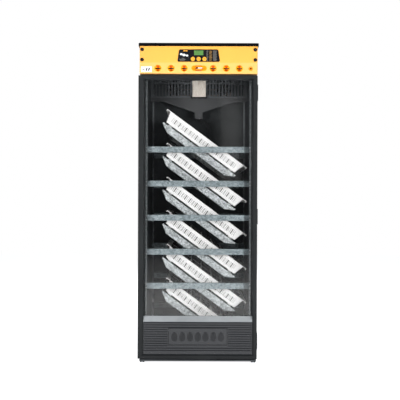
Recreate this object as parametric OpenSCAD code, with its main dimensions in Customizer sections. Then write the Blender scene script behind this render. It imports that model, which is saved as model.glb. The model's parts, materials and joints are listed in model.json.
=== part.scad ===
// Cabinet egg incubator with six tilting shelves, in millimetres.
// X runs to the right, Y to the back and Z up. The origin is on the floor, under the middle of the
// top cover. At rest the door is shut and the shelves lean fully to the right.

/* [Cabinet] */
// Width over the side panels
cabinet_w = 556; // [554:1:558]
// Width over the top cover
cover_w = 566; // [566:1:570]
// Depth over the top cover
cover_d = 620; // [620:1:624]
// Height over the top cover
cabinet_h = 1505; // [1505:1:1510]
// Thickness of the insulated panels
wall = 25; // [24:0.5:25]
// Height of the feet under the plinth
foot_h = 9; // [8:1:11]

/* [Door] */
// Height of the door's lower edge
door_z0 = 20; // [19:0.5:23]
// Height of the door's upper edge
door_z1 = 1353; // [1351:1:1356]
// How far the door's free edge stands past the cabinet, as a grip
door_grip = 5; // [3:1:5]
// Width of the flat border of the door frame
door_border = 19; // [17:1:21]
// Top of the ribbed lower part of the window moulding
ribbed_top = 194; // [190:2:198]

/* [Shelves] */
// Number of shelves
shelf_count = 6; // [4:1:6]
// Height of the top shelf's pivot
top_pivot_z = 1009; // [1007:1:1012]
// Distance between two shelf pivots
shelf_pitch = 163.4; // [163:0.1:163.5]
// Lean of the shelves at rest, in degrees
rest_tilt = 36.3; // [30:0.1:36.5]
// Half the length of an egg tray over its lip
tray_half = 239; // [236:1:240]
// Pitch of the tray dividers, one row of eggs apart
divider_pitch = 63; // [60:1:64]
// Distance from a shelf pivot to its link pin
crank_r = 60; // [50:1:62]

/* [Control panel] */
// Radius of an air vent cup
vent_r = 16.4; // [15:0.1:16.4]
// Distance between neighbouring vents
vent_pitch = 62; // [60:1:63]
// Radius of a round button
button_r = 9.6; // [8:0.1:10]
// Distance between buttons
button_pitch = 27.3; // [26:0.1:28]

/* [Air system] */
// Radius of a circulation fan
fan_r = 42; // [36:1:43]
// Number of blades on a fan
fan_blades = 7; // [5:1:9]
// Pitch of the slots in the air grille
grille_pitch = 16.7; // [16.5:0.1:17]

/* [Hidden] */
$fn = 48;
eps = 0.01;

// Cabinet
side_x = cabinet_w / 2;
inner_x = side_x - wall;
cover_t = 14;
cover_z = cabinet_h - cover_t;
cover_corner = 10;
front_y = -272;
back_y0 = 281;
back_y1 = 306;
panel_z0 = foot_h + 7;
floor_top = 42;
ceiling_z = 1408;
ceiling_top = 1430;
header_y1 = -260;
header_z0 = 1340;
plinth_half = 275.5;
foot_x = 262;
foot_y = [-290, 286];
plinth_y0 = -306;
foot_r = 13.5;
glide_r = 8;
glide_h = foot_h - 2;
cup_z0 = 2;

// Control fascia and what it holds
fascia_y = -303;
fascia_z0 = 1362;
skin = 3;
vent_z = 1387.5;
vent_x = [for (side = [-1, 1], k = [0 : 2]) side * (68 + k * vent_pitch)];
vent_y = [-304, -290];
recess_half = 36;
recess_r = 12.5;
knob_r = 8.5;
knob_x = 8.5;
plate_y = [-286, -284];
plate_h = 18.5;
screw_x = 266.5;
screw_z = [1427, 1475];
screw_r = 2.5;
overlay_y = fascia_y - 1.2;
overlay_z = [1417.5, 1476];
screen_size = [44, 22];
screen_z = 1460;
board_y = [-290, -288.4];
button_z = 1430.7;
button_y = [-307.5, -297.6];
light_x = 245;
light_z = 1385.5;

// Door
door_y0 = -308;
door_y1 = -276;
window_y = -288;
bevel_y = -291;
face_half = side_x - door_border;
window_half = face_half - 9;
window_z1 = door_z1 - 21.5;
lower_y = -303;
lower_half = 257.5;
lower_z0 = 41;
step_top = ribbed_top + 25.5;
pane_half = 259.5;
pane_z = [33.5, 1340.5];
rib_pitch = 10.9;
rib_count = 13;
rib_z0 = 57;
name_plate = [141, 82, 166];
door_edge_r = 4;

// Hinges, about one vertical axis
hinge_x = 279;
hinge_y = -273;
hinge_z = [102, 690, 1275];
hinge_half = 36;
knuckle_r = 4;
knuckle_end = 14;
hinge_pin_r = 2;
leaf_x = [side_x, side_x + 2.5];

// Rack
bar_y = [[-243, -222], [208, 222]];
bar_h = 28;
bar_half = 250;
upright_x = [244, 250.5, 252.5];
sheet = 2;
rivet_x = 247.5;
pivot_r = 6;
running = 0.05;
pivot_z = [for (i = [0 : shelf_count - 1]) top_pivot_z - i * shelf_pitch];

// Carrier and trays, measured from their pivot when level
carrier_y = [-213, 205];
carrier_half = 217;
carrier_foot = 175;
carrier_z = [-22.7, 3, 8.3];
slat_w = 24;
tray_y = [[-210, -8], [0, 202]];
tray_z = [17, 71];
tray_foot = 207;
tray_rim = 221;
tray_wall = 2.5;
tray_lip = 3;
clip_gap = 0.2;
divider_t = 2;
slot_z = [30, 55];
slot_w = 3.5;

// Turning linkage
arm_y = [226, 232];
arm_w = 22;
link_y = [233, 239];
link_pin_r = 4;
open_clear = 0.3;
motor_z = 1214;
motor_y = [103, 181];
motor_r = 19;

// Air system
grille_y = 100;
grille_z = [1308, 1408];
fan_x = 130;
fan_z = 1357;
fan_y = [112, 132];
fan_motor_y = [134, 165];
fan_shaft_r = 3;
heater_y = 200;
heater_z = 1352;

// ---- Helpers ----

// A box from its low corner to its high corner.
module box(low, high) {
    translate(low) cube(high - low);
}

// A rod along Y.
module rod_y(x, z, r, y0, y1) {
    translate([x, y0, z]) rotate([-90, 0, 0]) cylinder(h = y1 - y0, r = r);
}

// A plate across Y. Its children are drawn in X and Z.
module plate_xz(y0, y1) {
    translate([0, y1, 0]) rotate([90, 0, 0]) linear_extrude(y1 - y0) children();
}

// A bar along X. Its children are drawn in Y and Z.
module bar_yz(x0, x1) {
    translate([x0, 0, 0]) rotate([90, 0, 90]) linear_extrude(x1 - x0) children();
}

// A rectangle with round corners, centred.
module rounded_rect(w, d, r) {
    square([w - 2 * r, d], center = true);
    square([w, d - 2 * r], center = true);
    for (x = [-1, 1], y = [-1, 1])
        translate([x * (w / 2 - r), y * (d / 2 - r)]) circle(r);
}

// A slot with round ends along X, centred.
module stadium(half, r) {
    square([2 * (half - r), 2 * r], center = true);
    for (side = [-1, 1]) translate([side * (half - r), 0]) circle(r);
}

// A rectangle whose two corners at low y are round.
module round_front(x0, x1, y0, y1, r) {
    translate([x0, y0 + r]) square([x1 - x0, y1 - y0 - r]);
    translate([x0 + r, y0]) square([x1 - x0 - 2 * r, r + eps]);
    for (x = [x0 + r, x1 - r]) translate([x, y0 + r]) circle(r);
}

// ---- Cabinet ----

module side_panel(side) {
    color([0.10, 0.10, 0.11]) difference() {
        box([side > 0 ? inner_x : -side_x, front_y, panel_z0],
            [side > 0 ? side_x : -inner_x, back_y0, cover_z]);
        for (z = screw_z) rod_y(side * screw_x, z, screw_r + 0.1, front_y - eps, -261);
        if (side > 0) hinge_clearance();
    }
}

// Room round each hinge barrel.
module hinge_clearance() {
    for (z = hinge_z)
        translate([hinge_x, hinge_y, z - hinge_half - 2])
            cylinder(h = 2 * hinge_half + 4, r = knuckle_r + 0.8);
}

module back_panel() {
    color([0.10, 0.10, 0.11]) difference() {
        box([-side_x, back_y0, panel_z0], [side_x, back_y1, cover_z]);
        inlet_body(0.2, back_y0 - eps, back_y1 + eps);
    }
}

module floor_panel() {
    color([0.10, 0.10, 0.11])
        box([-inner_x, front_y, panel_z0], [inner_x, back_y0, floor_top]);
}

module ceiling_panel() {
    color([0.10, 0.10, 0.11])
        box([-inner_x, header_y1, ceiling_z], [inner_x, back_y0, ceiling_top]);
}

module top_cover() {
    color([0.08, 0.08, 0.09])
        translate([0, 0, cover_z]) linear_extrude(cover_t) rounded_rect(cover_w, cover_d, cover_corner);
}

module base_plinth() {
    color([0.08, 0.08, 0.09])
        translate([0, (back_y1 - 2 + plinth_y0) / 2, foot_h])
            linear_extrude(panel_z0 - foot_h)
                rounded_rect(2 * plinth_half, back_y1 - 2 - plinth_y0, cover_corner);
}

// Fixed feet: a black cup, open to the front and back, on a steel glide.
module glide_cups() {
    color([0.07, 0.07, 0.08])
        for (x = [-foot_x, foot_x], y = foot_y) translate([x, y, 0]) difference() {
            translate([0, 0, cup_z0]) cylinder(h = foot_h - cup_z0, r1 = foot_r - 2.5, r2 = foot_r);
            translate([0, 0, cup_z0 - eps])
                cylinder(h = glide_h - cup_z0 + 2 * eps, r = glide_r + 0.1);
            box([-6, -foot_r - 1, cup_z0 - eps], [6, foot_r + 1, glide_h - 1]);
        }
}

module glide_domes() {
    color([0.8, 0.82, 0.84])
        for (x = [-foot_x, foot_x], y = foot_y) translate([x, y, 0]) {
            cylinder(h = 1.5, r1 = glide_r - 2, r2 = glide_r);
            translate([0, 0, 1.5]) cylinder(h = glide_h - 1.5, r = glide_r);
        }
}

module header_panel() {
    color([0.12, 0.12, 0.13]) {
        difference() {
            box([-inner_x, front_y, header_z0], [inner_x, header_y1, cover_z]);
            for (x = vent_x) rod_y(x, vent_z, vent_r - 2.4, front_y - 1, header_y1 + 1);
        }
        for (side = [-1, 1]) slide_guide(side);
    }
}

// A grooved rail above or below the slide plate.
module slide_guide(side) {
    translate([0, 0, vent_z]) mirror([0, 0, side > 0 ? 0 : 1]) difference() {
        box([-235, -290, 16.6], [235, front_y + eps, 22]);
        box([-236, plate_y[0] - 1, 16], [236, plate_y[1] + 1, plate_h + 0.5]);
    }
}

// ---- Control panel ----

module control_fascia() {
    color([0.98, 0.80, 0.33]) difference() {
        translate([0, 0, fascia_z0]) linear_extrude(cover_z - fascia_z0)
            round_front(-side_x, side_x, fascia_y, front_y, 3);
        box([-side_x + skin, fascia_y + skin, fascia_z0 + skin],
            [side_x - skin, front_y + eps, cover_z - skin]);
        for (x = vent_x) rod_y(x, vent_z, vent_r + 0.1, fascia_y - 1, fascia_y + skin + 1);
        plate_xz(fascia_y - 1, fascia_y + skin + 1)
            translate([2, vent_z]) stadium(recess_half + 0.1, recess_r + 0.1);
        for (x = [-screw_x, screw_x], z = screw_z)
            rod_y(x, z, screw_r + 0.3, fascia_y - 1, fascia_y + skin + 1);
        for (k = [-1 : 1])
            rod_y(k * button_pitch, button_z, button_r + 0.4, fascia_y - 1, fascia_y + skin + 1);
        rod_y(light_x, light_z, 7.2, fascia_y - 1, fascia_y + skin + 1);
        screen_block(0.2, fascia_y - 1, fascia_y + skin + 1);
    }
}

module screen_block(gap, y0, y1) {
    box([-screen_size[0] / 2 - 1 - gap, y0, screen_z - screen_size[1] / 2 - 1 - gap],
        [screen_size[0] / 2 + 1 + gap, y1, screen_z + screen_size[1] / 2 + 1 + gap]);
}

module fascia_screws() {
    color([0.05, 0.05, 0.06])
        for (x = [-screw_x, screw_x], z = screw_z) {
            difference() {
                rod_y(x, z, 8.5, fascia_y - 3.5, fascia_y);
                box([x - 5, fascia_y - 4, z - 0.8], [x + 5, fascia_y - 2, z + 0.8]);
                box([x - 0.8, fascia_y - 4, z - 5], [x + 0.8, fascia_y - 2, z + 5]);
            }
            rod_y(x, z, screw_r, fascia_y - eps, -262);
        }
}

// Dished cups with a level air slot, and the recess that the slide knob runs in.
module vent_bezels() {
    color([0.98, 0.60, 0.05]) {
        for (x = vent_x) difference() {
            rod_y(x, vent_z, vent_r, vent_y[0], vent_y[1]);
            translate([x, vent_y[0] - eps, vent_z]) rotate([-90, 0, 0])
                cylinder(h = 11, r1 = vent_r - 1.2, r2 = 6);
            box([x - vent_r + 1.6, vent_y[0] + 3, vent_z - 3], [x + vent_r - 1.6, vent_y[1] + 1, vent_z + 3]);
        }
        translate([2, 0, 0]) difference() {
            plate_xz(vent_y[0], vent_y[1]) translate([0, vent_z]) stadium(recess_half, recess_r);
            plate_xz(vent_y[0] - 1, vent_y[1] - 2)
                translate([0, vent_z]) stadium(recess_half - 2, recess_r - 2);
            plate_xz(vent_y[0] - 1, vent_y[1] + 1) translate([0, vent_z]) stadium(20, 4);
        }
    }
}

module vent_slide_plate() {
    color([0.25, 0.24, 0.22]) difference() {
        box([-222, plate_y[0], vent_z - plate_h], [222, plate_y[1], vent_z + plate_h]);
        for (x = vent_x) rod_y(x - 10, vent_z, 11, plate_y[0] - 1, plate_y[1] + 1);
    }
}

module vent_knob() {
    color([0.07, 0.07, 0.08]) translate([2, 0, 0]) {
        plate_xz(-309, -296) translate([0, vent_z]) stadium(knob_x + knob_r, knob_r);
        plate_xz(-296 - eps, plate_y[0]) translate([0, vent_z]) square([7, 5], center = true);
    }
}

module display_overlay() {
    color([0.05, 0.05, 0.06]) difference() {
        plate_xz(overlay_y, fascia_y) overlay_outline();
        box([-screen_size[0] / 2, overlay_y - 1, screen_z - screen_size[1] / 2],
            [screen_size[0] / 2, fascia_y + 1, screen_z + screen_size[1] / 2]);
        for (k = [-1 : 1])
            rod_y(k * button_pitch, button_z, button_r + 0.4, overlay_y - 1, fascia_y + 1);
    }
}

// A trapezoid that is wider at its foot, with round corners.
module overlay_outline() {
    r = 7;
    hull() for (side = [-1, 1]) {
        translate([side * (100 - r), overlay_z[0] + r]) circle(r, $fn = 32);
        translate([side * (93 - r), overlay_z[1] - r]) circle(r, $fn = 32);
    }
}

module display_screen() {
    color([0.38, 0.60, 0.30]) screen_block(0, fascia_y, board_y[0]);
}

module control_board() {
    color([0.08, 0.32, 0.16]) {
        box([-75, board_y[0], 1413], [75, board_y[1], 1482]);
        for (k = [-1 : 1])
            box([k * button_pitch - 3, -296.5, button_z - 3],
                [k * button_pitch + 3, board_y[0] + eps, button_z + 3]);
        for (x = [-66, 66], z = [1418, 1477]) rod_y(x, z, 3, board_y[1] - eps, front_y);
        box([-50, board_y[1] - eps, 1430], [-20, -278, 1460]);
        box([15, board_y[1] - eps, 1425], [55, -281, 1440]);
    }
}

module round_button(k) {
    color([0.98, 0.82, 0.30]) {
        rod_y(k * button_pitch, button_z, button_r, button_y[0], -298.3);
        rod_y(k * button_pitch, button_z, 11.5, -299.8, -298.3);
        rod_y(k * button_pitch, button_z, 2, -298.3 - eps, button_y[1]);
    }
}

module light_button_bezel() {
    color([0.98, 0.60, 0.05]) difference() {
        union() {
            rod_y(light_x, light_z, 10, fascia_y - 2, fascia_y);
            rod_y(light_x, light_z, 7, fascia_y - eps, -290);
        }
        rod_y(light_x, light_z, 4.3, fascia_y - 3, -298);
        rod_y(light_x, light_z, 6.3, -298 - eps, -292);
    }
}

module light_button() {
    color([0.05, 0.05, 0.06]) {
        rod_y(light_x, light_z, 4, -307, -296.5);
        rod_y(light_x, light_z, 5.8, -297.8, -296.5);
    }
}

module power_supply() {
    color([0.70, 0.72, 0.74]) {
        box([-200, -100, ceiling_top], [-90, 60, ceiling_top + 42]);
        for (y = [-112, 60 - eps]) box([-180, y, ceiling_top], [-110, y + 12, ceiling_top + 2]);
    }
}

module inlet_body(gap, y0, y1) {
    box([-164 - gap, y0, 1440 - gap], [-136 + gap, y1, 1460 + gap]);
}

module power_inlet() {
    color([0.06, 0.06, 0.07]) {
        difference() {
            union() {
                box([-176, back_y1, 1434], [-124, back_y1 + 2.5, 1466]);
                inlet_body(0, 272, back_y1 + eps);
            }
            box([-162, 290, 1442], [-138, back_y1 + 3, 1458]);
        }
        for (x = [-157, -150, -143])
            box([x - 1, 289, 1447], [x + 1, 304, 1453]);
    }
}

// ---- Door ----

module door_frame() {
    color([0.14, 0.14, 0.15]) difference() {
        intersection() {
            translate([0, 0, door_z0]) linear_extrude(door_z1 - door_z0)
                round_front(-side_x - door_grip, side_x, door_y0, door_y1, door_edge_r);
            bar_yz(-side_x - door_grip, side_x) rounded_ends(door_y0, door_y1, door_z0, door_z1, door_edge_r);
        }
        bevelled_opening(face_half, window_half, bevel_y,
                         [lower_z0, lower_z0], [window_z1 + 7, window_z1]);
        box([-window_half, bevel_y - eps, lower_z0], [window_half, door_y1, window_z1]);
        bevelled_opening(face_half + 5, lower_half, lower_y,
                         [lower_z0 - 6, lower_z0], [step_top + 5, step_top + 1]);
        box([-lower_half, lower_y - eps, lower_z0], [lower_half, door_y1, step_top + 1]);
        box([-pane_half - 0.5, window_y, pane_z[0] - 0.5],
            [pane_half + 0.5, door_y1 + eps, pane_z[1] + 0.5]);
        hinge_clearance();
    }
}

// A rectangle in Y and Z whose two corners at low y are round.
module rounded_ends(y0, y1, z0, z1, r) {
    translate([y0 + r, z0]) square([y1 - y0 - r, z1 - z0]);
    translate([y0, z0 + r]) square([r + eps, z1 - z0 - 2 * r]);
    for (z = [z0 + r, z1 - r]) translate([y0 + r, z]) circle(r);
}

// A cut that narrows from the door's face to depth y, with mitred corners.
module bevelled_opening(face, deep, y, z_low, z_high) {
    intersection() {
        translate([0, 0, z_low[0] - 1]) linear_extrude(z_high[0] - z_low[0] + 2)
            polygon([[-face, door_y0], [-face, door_y0 - 1], [face, door_y0 - 1], [face, door_y0],
                     [deep, y], [-deep, y]]);
        bar_yz(-face - 1, face + 1)
            polygon([[door_y0 - 1, z_low[0]], [door_y0, z_low[0]], [y, z_low[1]],
                     [y, z_high[1]], [door_y0, z_high[0]], [door_y0 - 1, z_high[0]]]);
    }
}

// One clear moulding: flat window, sloped step and ribbed foot with a framed plate.
module door_window() {
    half = lower_half - 1;
    t = 4;
    color([0.75, 0.80, 0.83, 0.35]) {
        box([-pane_half, window_y, step_top], [pane_half, window_y + t, pane_z[1]]);
        bar_yz(-half, half)
            polygon([[lower_y, ribbed_top], [window_y, step_top], [window_y + t, step_top],
                     [window_y + t, step_top - 3], [lower_y + t, ribbed_top - 3]]);
        box([-half, lower_y, lower_z0 + 0.3], [half, lower_y + t, ribbed_top]);
        box([-half, lower_y + t - eps, lower_z0 + 0.3], [half, window_y + t, lower_z0 + 4]);
        box([-pane_half, window_y, pane_z[0]], [pane_half, window_y + t, lower_z0 + 4]);
        window_ribs(half);
        framed_plate();
    }
}

module window_ribs(half) {
    for (k = [0 : rib_count - 1]) {
        z = rib_z0 + k * rib_pitch;
        beside_plate = z + 5 > name_plate[1] && z < name_plate[2];
        if (beside_plate)
            for (side = [-1, 1])
                box([side > 0 ? name_plate[0] - eps : -half, lower_y - 1.5, z],
                    [side > 0 ? half : -name_plate[0] + eps, lower_y + eps, z + 5]);
        else
            box([-half, lower_y - 1.5, z], [half, lower_y + eps, z + 5]);
    }
}

module framed_plate() {
    difference() {
        box([-name_plate[0], lower_y - 2, name_plate[1]], [name_plate[0], lower_y + eps, name_plate[2]]);
        box([-name_plate[0] + 5, lower_y - 3, name_plate[1] + 5],
            [name_plate[0] - 5, lower_y - 1, name_plate[2] - 5]);
    }
}

module door_inner_pane() {
    color([0.75, 0.80, 0.83, 0.35])
        box([-pane_half, -280, pane_z[0]], [pane_half, -277, pane_z[1]]);
}

module door_seal() {
    color([0.05, 0.05, 0.05]) difference() {
        box([-272, door_y1, 24], [272, front_y - 0.5, 1351]);
        box([-260, door_y1 - 1, 36], [260, front_y + 1, 1342]);
    }
}

// ---- Hinges ----

module hinge_cabinet_leaves() {
    color([0.12, 0.12, 0.13]) for (z = hinge_z) translate([hinge_x, hinge_y, z]) difference() {
        union() {
            box([leaf_x[0] - hinge_x, 0, -hinge_half], [leaf_x[1] - hinge_x, 33, hinge_half]);
            for (side = [-1, 1]) translate([0, 0, side > 0 ? knuckle_end : -hinge_half])
                cylinder(h = hinge_half - knuckle_end, r = knuckle_r);
        }
        translate([0, 0, -knuckle_end]) cylinder(h = 2 * knuckle_end, r = knuckle_r + 0.6);
        hinge_bore();
    }
}

module hinge_door_leaves() {
    color([0.12, 0.12, 0.13]) for (z = hinge_z) translate([hinge_x, hinge_y, z]) difference() {
        union() {
            box([leaf_x[0] - hinge_x, -31, -hinge_half], [leaf_x[1] - hinge_x, 0, hinge_half]);
            translate([0, 0, -knuckle_end + 0.5]) cylinder(h = 2 * knuckle_end - 1, r = knuckle_r);
        }
        for (side = [-1, 1]) translate([0, 0, side > 0 ? knuckle_end - 0.5 : -hinge_half - 1])
            cylinder(h = hinge_half - knuckle_end + 1.5, r = knuckle_r + 0.6);
        hinge_bore();
    }
}

module hinge_bore() {
    translate([0, 0, -hinge_half - 1]) cylinder(h = 2 * hinge_half + 2, r = hinge_pin_r + running);
}

module hinge_pins() {
    color([0.6, 0.6, 0.62]) for (z = hinge_z) translate([hinge_x, hinge_y, z]) {
        translate([0, 0, -hinge_half]) cylinder(h = 2 * hinge_half, r = hinge_pin_r);
        for (side = [-1, 1]) translate([0, 0, side > 0 ? hinge_half : -hinge_half - 1.5])
            cylinder(h = 1.5, r = 3);
    }
}

// ---- Rack ----

module rack_uprights() {
    color([0.66, 0.69, 0.71]) for (side = [0, 1]) mirror([side, 0, 0]) {
        box([upright_x[0], bar_y[0][0] - sheet, floor_top], [upright_x[2], bar_y[0][0], ceiling_z - 2]);
        box([upright_x[1], bar_y[0][0] - sheet, floor_top], [upright_x[2], bar_y[0][1], ceiling_z - 2]);
        box([upright_x[0], bar_y[1][1], floor_top], [upright_x[2], bar_y[1][1] + sheet, ceiling_z - 2]);
        box([upright_x[1], bar_y[1][0], floor_top], [upright_x[2], bar_y[1][1] + sheet, ceiling_z - 2]);
    }
}

module channel(y, h) {
    translate([y[0], -h / 2]) square([sheet, h]);
    for (z = [-h / 2, h / 2 - sheet]) translate([y[0], z]) square([y[1] - y[0], sheet]);
}

module rack_bars() {
    color([0.58, 0.62, 0.64]) for (z = pivot_z) {
        translate([0, 0, z]) bar_yz(-bar_half, bar_half) channel(bar_y[0], bar_h);
        difference() {
            translate([0, 0, z]) bar_yz(-bar_half, bar_half) channel(bar_y[1], bar_h);
            rod_y(0, z, pivot_r + running, bar_y[1][0] - 1, bar_y[1][0] + sheet + 1);
        }
    }
}

module rack_rivets() {
    color([0.85, 0.87, 0.88]) for (z = pivot_z, side = [-1, 1], off = [-9, 9]) {
        rod_y(side * rivet_x, z + off, 3, bar_y[0][0] - sheet - 1.6, bar_y[0][0] - sheet);
        rod_y(side * rivet_x, z + off, 3, bar_y[1][1] + sheet, bar_y[1][1] + sheet + 1.6);
    }
}

module pivot_pins() {
    color([0.6, 0.6, 0.62])
        for (z = pivot_z) rod_y(0, z, pivot_r, bar_y[0][0] + sheet, carrier_y[0] + sheet - 0.2);
}

// ---- Carriers and trays ----

// Places a shelf drawn level, with its pivot at the origin.
module on_shelf(i) {
    translate([0, 0, pivot_z[i - 1]]) rotate([0, rest_tilt, 0]) children();
}

module carrier_outline() {
    polygon([[-carrier_half, carrier_z[2]], [-carrier_half, carrier_z[1]],
             [-carrier_foot, carrier_z[0]], [carrier_foot, carrier_z[0]],
             [carrier_half, carrier_z[1]], [carrier_half, carrier_z[2]]]);
}

module carrier_end() {
    polygon([[carrier_half, carrier_z[2]], [carrier_half, carrier_z[1]],
             [carrier_foot, carrier_z[0]], [carrier_foot - 2, carrier_z[0] + sheet],
             [carrier_half - sheet, carrier_z[1] + 1], [carrier_half - sheet, carrier_z[2]]]);
}

module carrier(i) {
    color([0.78, 0.81, 0.82]) on_shelf(i) {
        difference() {
            union() {
                for (y = [carrier_y[0], carrier_y[1] - sheet])
                    plate_xz(y, y + sheet) carrier_outline();
                for (side = [0, 1])
                    mirror([side, 0, 0]) plate_xz(carrier_y[0], carrier_y[1]) carrier_end();
                carrier_flanges();
                carrier_slats();
                rod_y(0, 0, 12, carrier_y[0] - 6, carrier_y[0] + eps);
            }
            rod_y(0, 0, pivot_r + running, carrier_y[0] - 7, carrier_y[0] + sheet);
        }
        turning_arm(carrier_y[1] - 10);
    }
}

// Inward folds along the top and bottom of the front and rear plates.
module carrier_flanges() {
    for (y = [carrier_y[0], carrier_y[1] - 12]) {
        box([-carrier_half, y, carrier_z[2] - sheet], [carrier_half, y + 12, carrier_z[2]]);
        box([-carrier_foot, y, carrier_z[0]], [carrier_foot, y + 12, carrier_z[0] + sheet]);
    }
}

module carrier_slats() {
    for (x = [-180 : 90 : 180])
        box([x - slat_w / 2, carrier_y[0] + sheet - eps, carrier_z[2] - 4],
            [x + slat_w / 2, carrier_y[1] - sheet + eps, carrier_z[2]]);
    box([-carrier_half + 1, -10, carrier_z[2] - 6], [carrier_half - 1, 2, carrier_z[2]]);
}

// A shaft with an arm and a link pin at its rear end.
module turning_arm(y0) {
    rod_y(0, 0, pivot_r, y0, arm_y[1]);
    plate_xz(arm_y[0], arm_y[1]) {
        translate([0, -arm_w / 2]) square([crank_r, arm_w]);
        for (x = [0, crank_r]) translate([x, 0]) circle(arm_w / 2);
    }
    rod_y(crank_r, 0, link_pin_r, arm_y[1] - eps, link_y[1] + 1);
}

module egg_trays(i) {
    color([0.95, 0.95, 0.95]) on_shelf(i) for (y = tray_y) {
        egg_tray(y[0], y[1]);
        for (k = [-3 : 2]) tray_divider((k + 0.5) * divider_pitch, y[0], y[1]);
    }
}

module tray_outline() {
    polygon([[-tray_foot, tray_z[0]], [tray_foot, tray_z[0]],
             [tray_rim, tray_z[1]], [-tray_rim, tray_z[1]]]);
}

// A slanted end wall with its lip turned down.
module tray_end() {
    polygon([[tray_foot, tray_z[0]], [tray_rim - 1, tray_z[1] - tray_wall],
             [tray_half - tray_wall, tray_z[1] - tray_wall], [tray_half - tray_wall, tray_z[1] - 8],
             [tray_half, tray_z[1] - 8], [tray_half, tray_z[1]],
             [tray_rim - tray_wall, tray_z[1]], [tray_foot - tray_wall, tray_z[0]]]);
}

module egg_tray(y0, y1) {
    difference() {
        union() {
            box([-tray_foot, y0, tray_z[0]], [tray_foot, y1, tray_z[0] + tray_wall]);
            for (side = [0, 1]) mirror([side, 0, 0]) plate_xz(y0, y1) tray_end();
            for (y = [y0, y1 - tray_wall]) plate_xz(y, y + tray_wall) tray_outline();
            for (y = [y0 - tray_lip, y1 - eps])
                box([-tray_rim, y, tray_z[1] - 4], [tray_rim, y + tray_lip + eps, tray_z[1]]);
            for (x = [-180, 180], y = [y0 + 20, y1 - 40])
                box([x - 10, y, carrier_z[2]], [x + 10, y + 20, tray_z[0] + eps]);
        }
        tray_slots(y0, y1);
    }
}

// Two upright slots beside each divider in the long walls, and a long slot in the floor of each row.
module tray_slots(y0, y1) {
    for (k = [-3 : 2], side = [-1, 1], y = [y0 - 1, y1 - tray_wall - 1]) {
        x = (k + 0.5) * divider_pitch + side * divider_pitch / 5;
        box([x - slot_w / 2, y, slot_z[0]], [x + slot_w / 2, y + tray_wall + 2, slot_z[1]]);
    }
    for (k = [-3 : 3])
        box([k * divider_pitch - 6, y0 + 45, tray_z[0] - 1],
            [k * divider_pitch + 6, y1 - 45, tray_z[0] + tray_wall + 1]);
}

// An upright strip between two rows of eggs, hung on the rims of the long walls.
module tray_divider(x, y0, y1) {
    rest_z = tray_z[1] + clip_gap;
    box([x - divider_t / 2, y0 + tray_wall + clip_gap, tray_z[0] + 7],
        [x + divider_t / 2, y1 - tray_wall - clip_gap, rest_z + 1.5]);
    box([x - divider_t / 2, y0 - tray_lip, rest_z], [x + divider_t / 2, y1 + tray_lip, rest_z + 1.5]);
}

// ---- Turning drive ----

// Joins the arms of all shelves and the crank. Only the top shelf's bore is a close fit.
module turning_link() {
    pins = concat(pivot_z, [motor_z]);
    color([0.70, 0.72, 0.74])
        translate([crank_r * cos(rest_tilt), 0, -crank_r * sin(rest_tilt)]) difference() {
            box([-10, link_y[0], min(pins) - 14], [10, link_y[1], motor_z + 14]);
            for (z = pins)
                rod_y(0, z, link_pin_r + (z == top_pivot_z ? running : open_clear),
                      link_y[0] - 1, link_y[1] + 1);
        }
}

module drive_crank() {
    color([0.70, 0.72, 0.74])
        translate([0, 0, motor_z]) rotate([0, rest_tilt, 0]) turning_arm(motor_y[1] - 14);
}

module turning_motor() {
    color([0.25, 0.25, 0.27]) difference() {
        rod_y(0, motor_z, motor_r, motor_y[0], motor_y[1]);
        rod_y(0, motor_z, pivot_r + running, motor_y[1] - 15, motor_y[1] + 1);
    }
}

// A V-shaped hanger from wall to wall that carries the motor at its foot.
module drive_panel() {
    color([0.24, 0.25, 0.26]) plate_xz(grille_y, motor_y[0])
        polygon([[-inner_x, grille_z[0]], [-inner_x, 1287], [-188, 1287], [-21, 1231], [-21, 1196],
                 [21, 1196], [21, 1231], [188, 1287], [inner_x, 1287], [inner_x, grille_z[0]]]);
}

// ---- Air system ----

module air_grille() {
    color([0.13, 0.13, 0.14]) difference() {
        box([-inner_x, grille_y, grille_z[0]], [inner_x, grille_y + sheet, grille_z[1]]);
        for (side = [-1, 1], k = [0 : 11]) {
            x = side * (50 + k * grille_pitch);
            box([x - 4, grille_y - 1, grille_z[0] + 10], [x + 4, grille_y + sheet + 1, grille_z[0] + 74]);
            box([x - 4, grille_y - 1, grille_z[0] + 83], [x + 4, grille_y + sheet + 1, grille_z[0] + 92]);
        }
    }
}

module pad_holder() {
    color([0.07, 0.07, 0.08]) translate([2, 0, 0]) {
        box([-41, 78, 1304], [41, grille_y, 1310]);
        for (side = [0, 1]) mirror([side, 0, 0]) box([36.5, 84, 1310 - eps], [39, grille_y, 1330]);
    }
}

module evaporating_pad() {
    color([0.88, 0.83, 0.76]) box([-34, 82, 1310], [38, grille_y - 0.5, 1403]);
}

module fan_motors() {
    color([0.10, 0.10, 0.11]) for (x = [-fan_x, fan_x]) difference() {
        union() {
            rod_y(x, fan_z, 18, fan_motor_y[0], fan_motor_y[1]);
            box([x - 12, 140, fan_z], [x + 12, 160, ceiling_z]);
        }
        rod_y(x, fan_z, fan_shaft_r + running, fan_motor_y[0] - 1, 160);
    }
}

module fan_impeller(side) {
    mid_y = (fan_y[0] + fan_y[1]) / 2;
    color([0.20, 0.20, 0.22]) {
        rod_y(side * fan_x, fan_z, 14, fan_y[0], fan_y[1]);
        rod_y(side * fan_x, fan_z, fan_shaft_r, fan_y[1] - eps, 158);
        for (k = [0 : fan_blades - 1])
            translate([side * fan_x, mid_y, fan_z]) rotate([0, k * 360 / fan_blades, 0])
                rotate([0, 0, 35]) translate([-0.8, -9, 12]) cube([1.6, 18, fan_r - 12]);
    }
}

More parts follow.
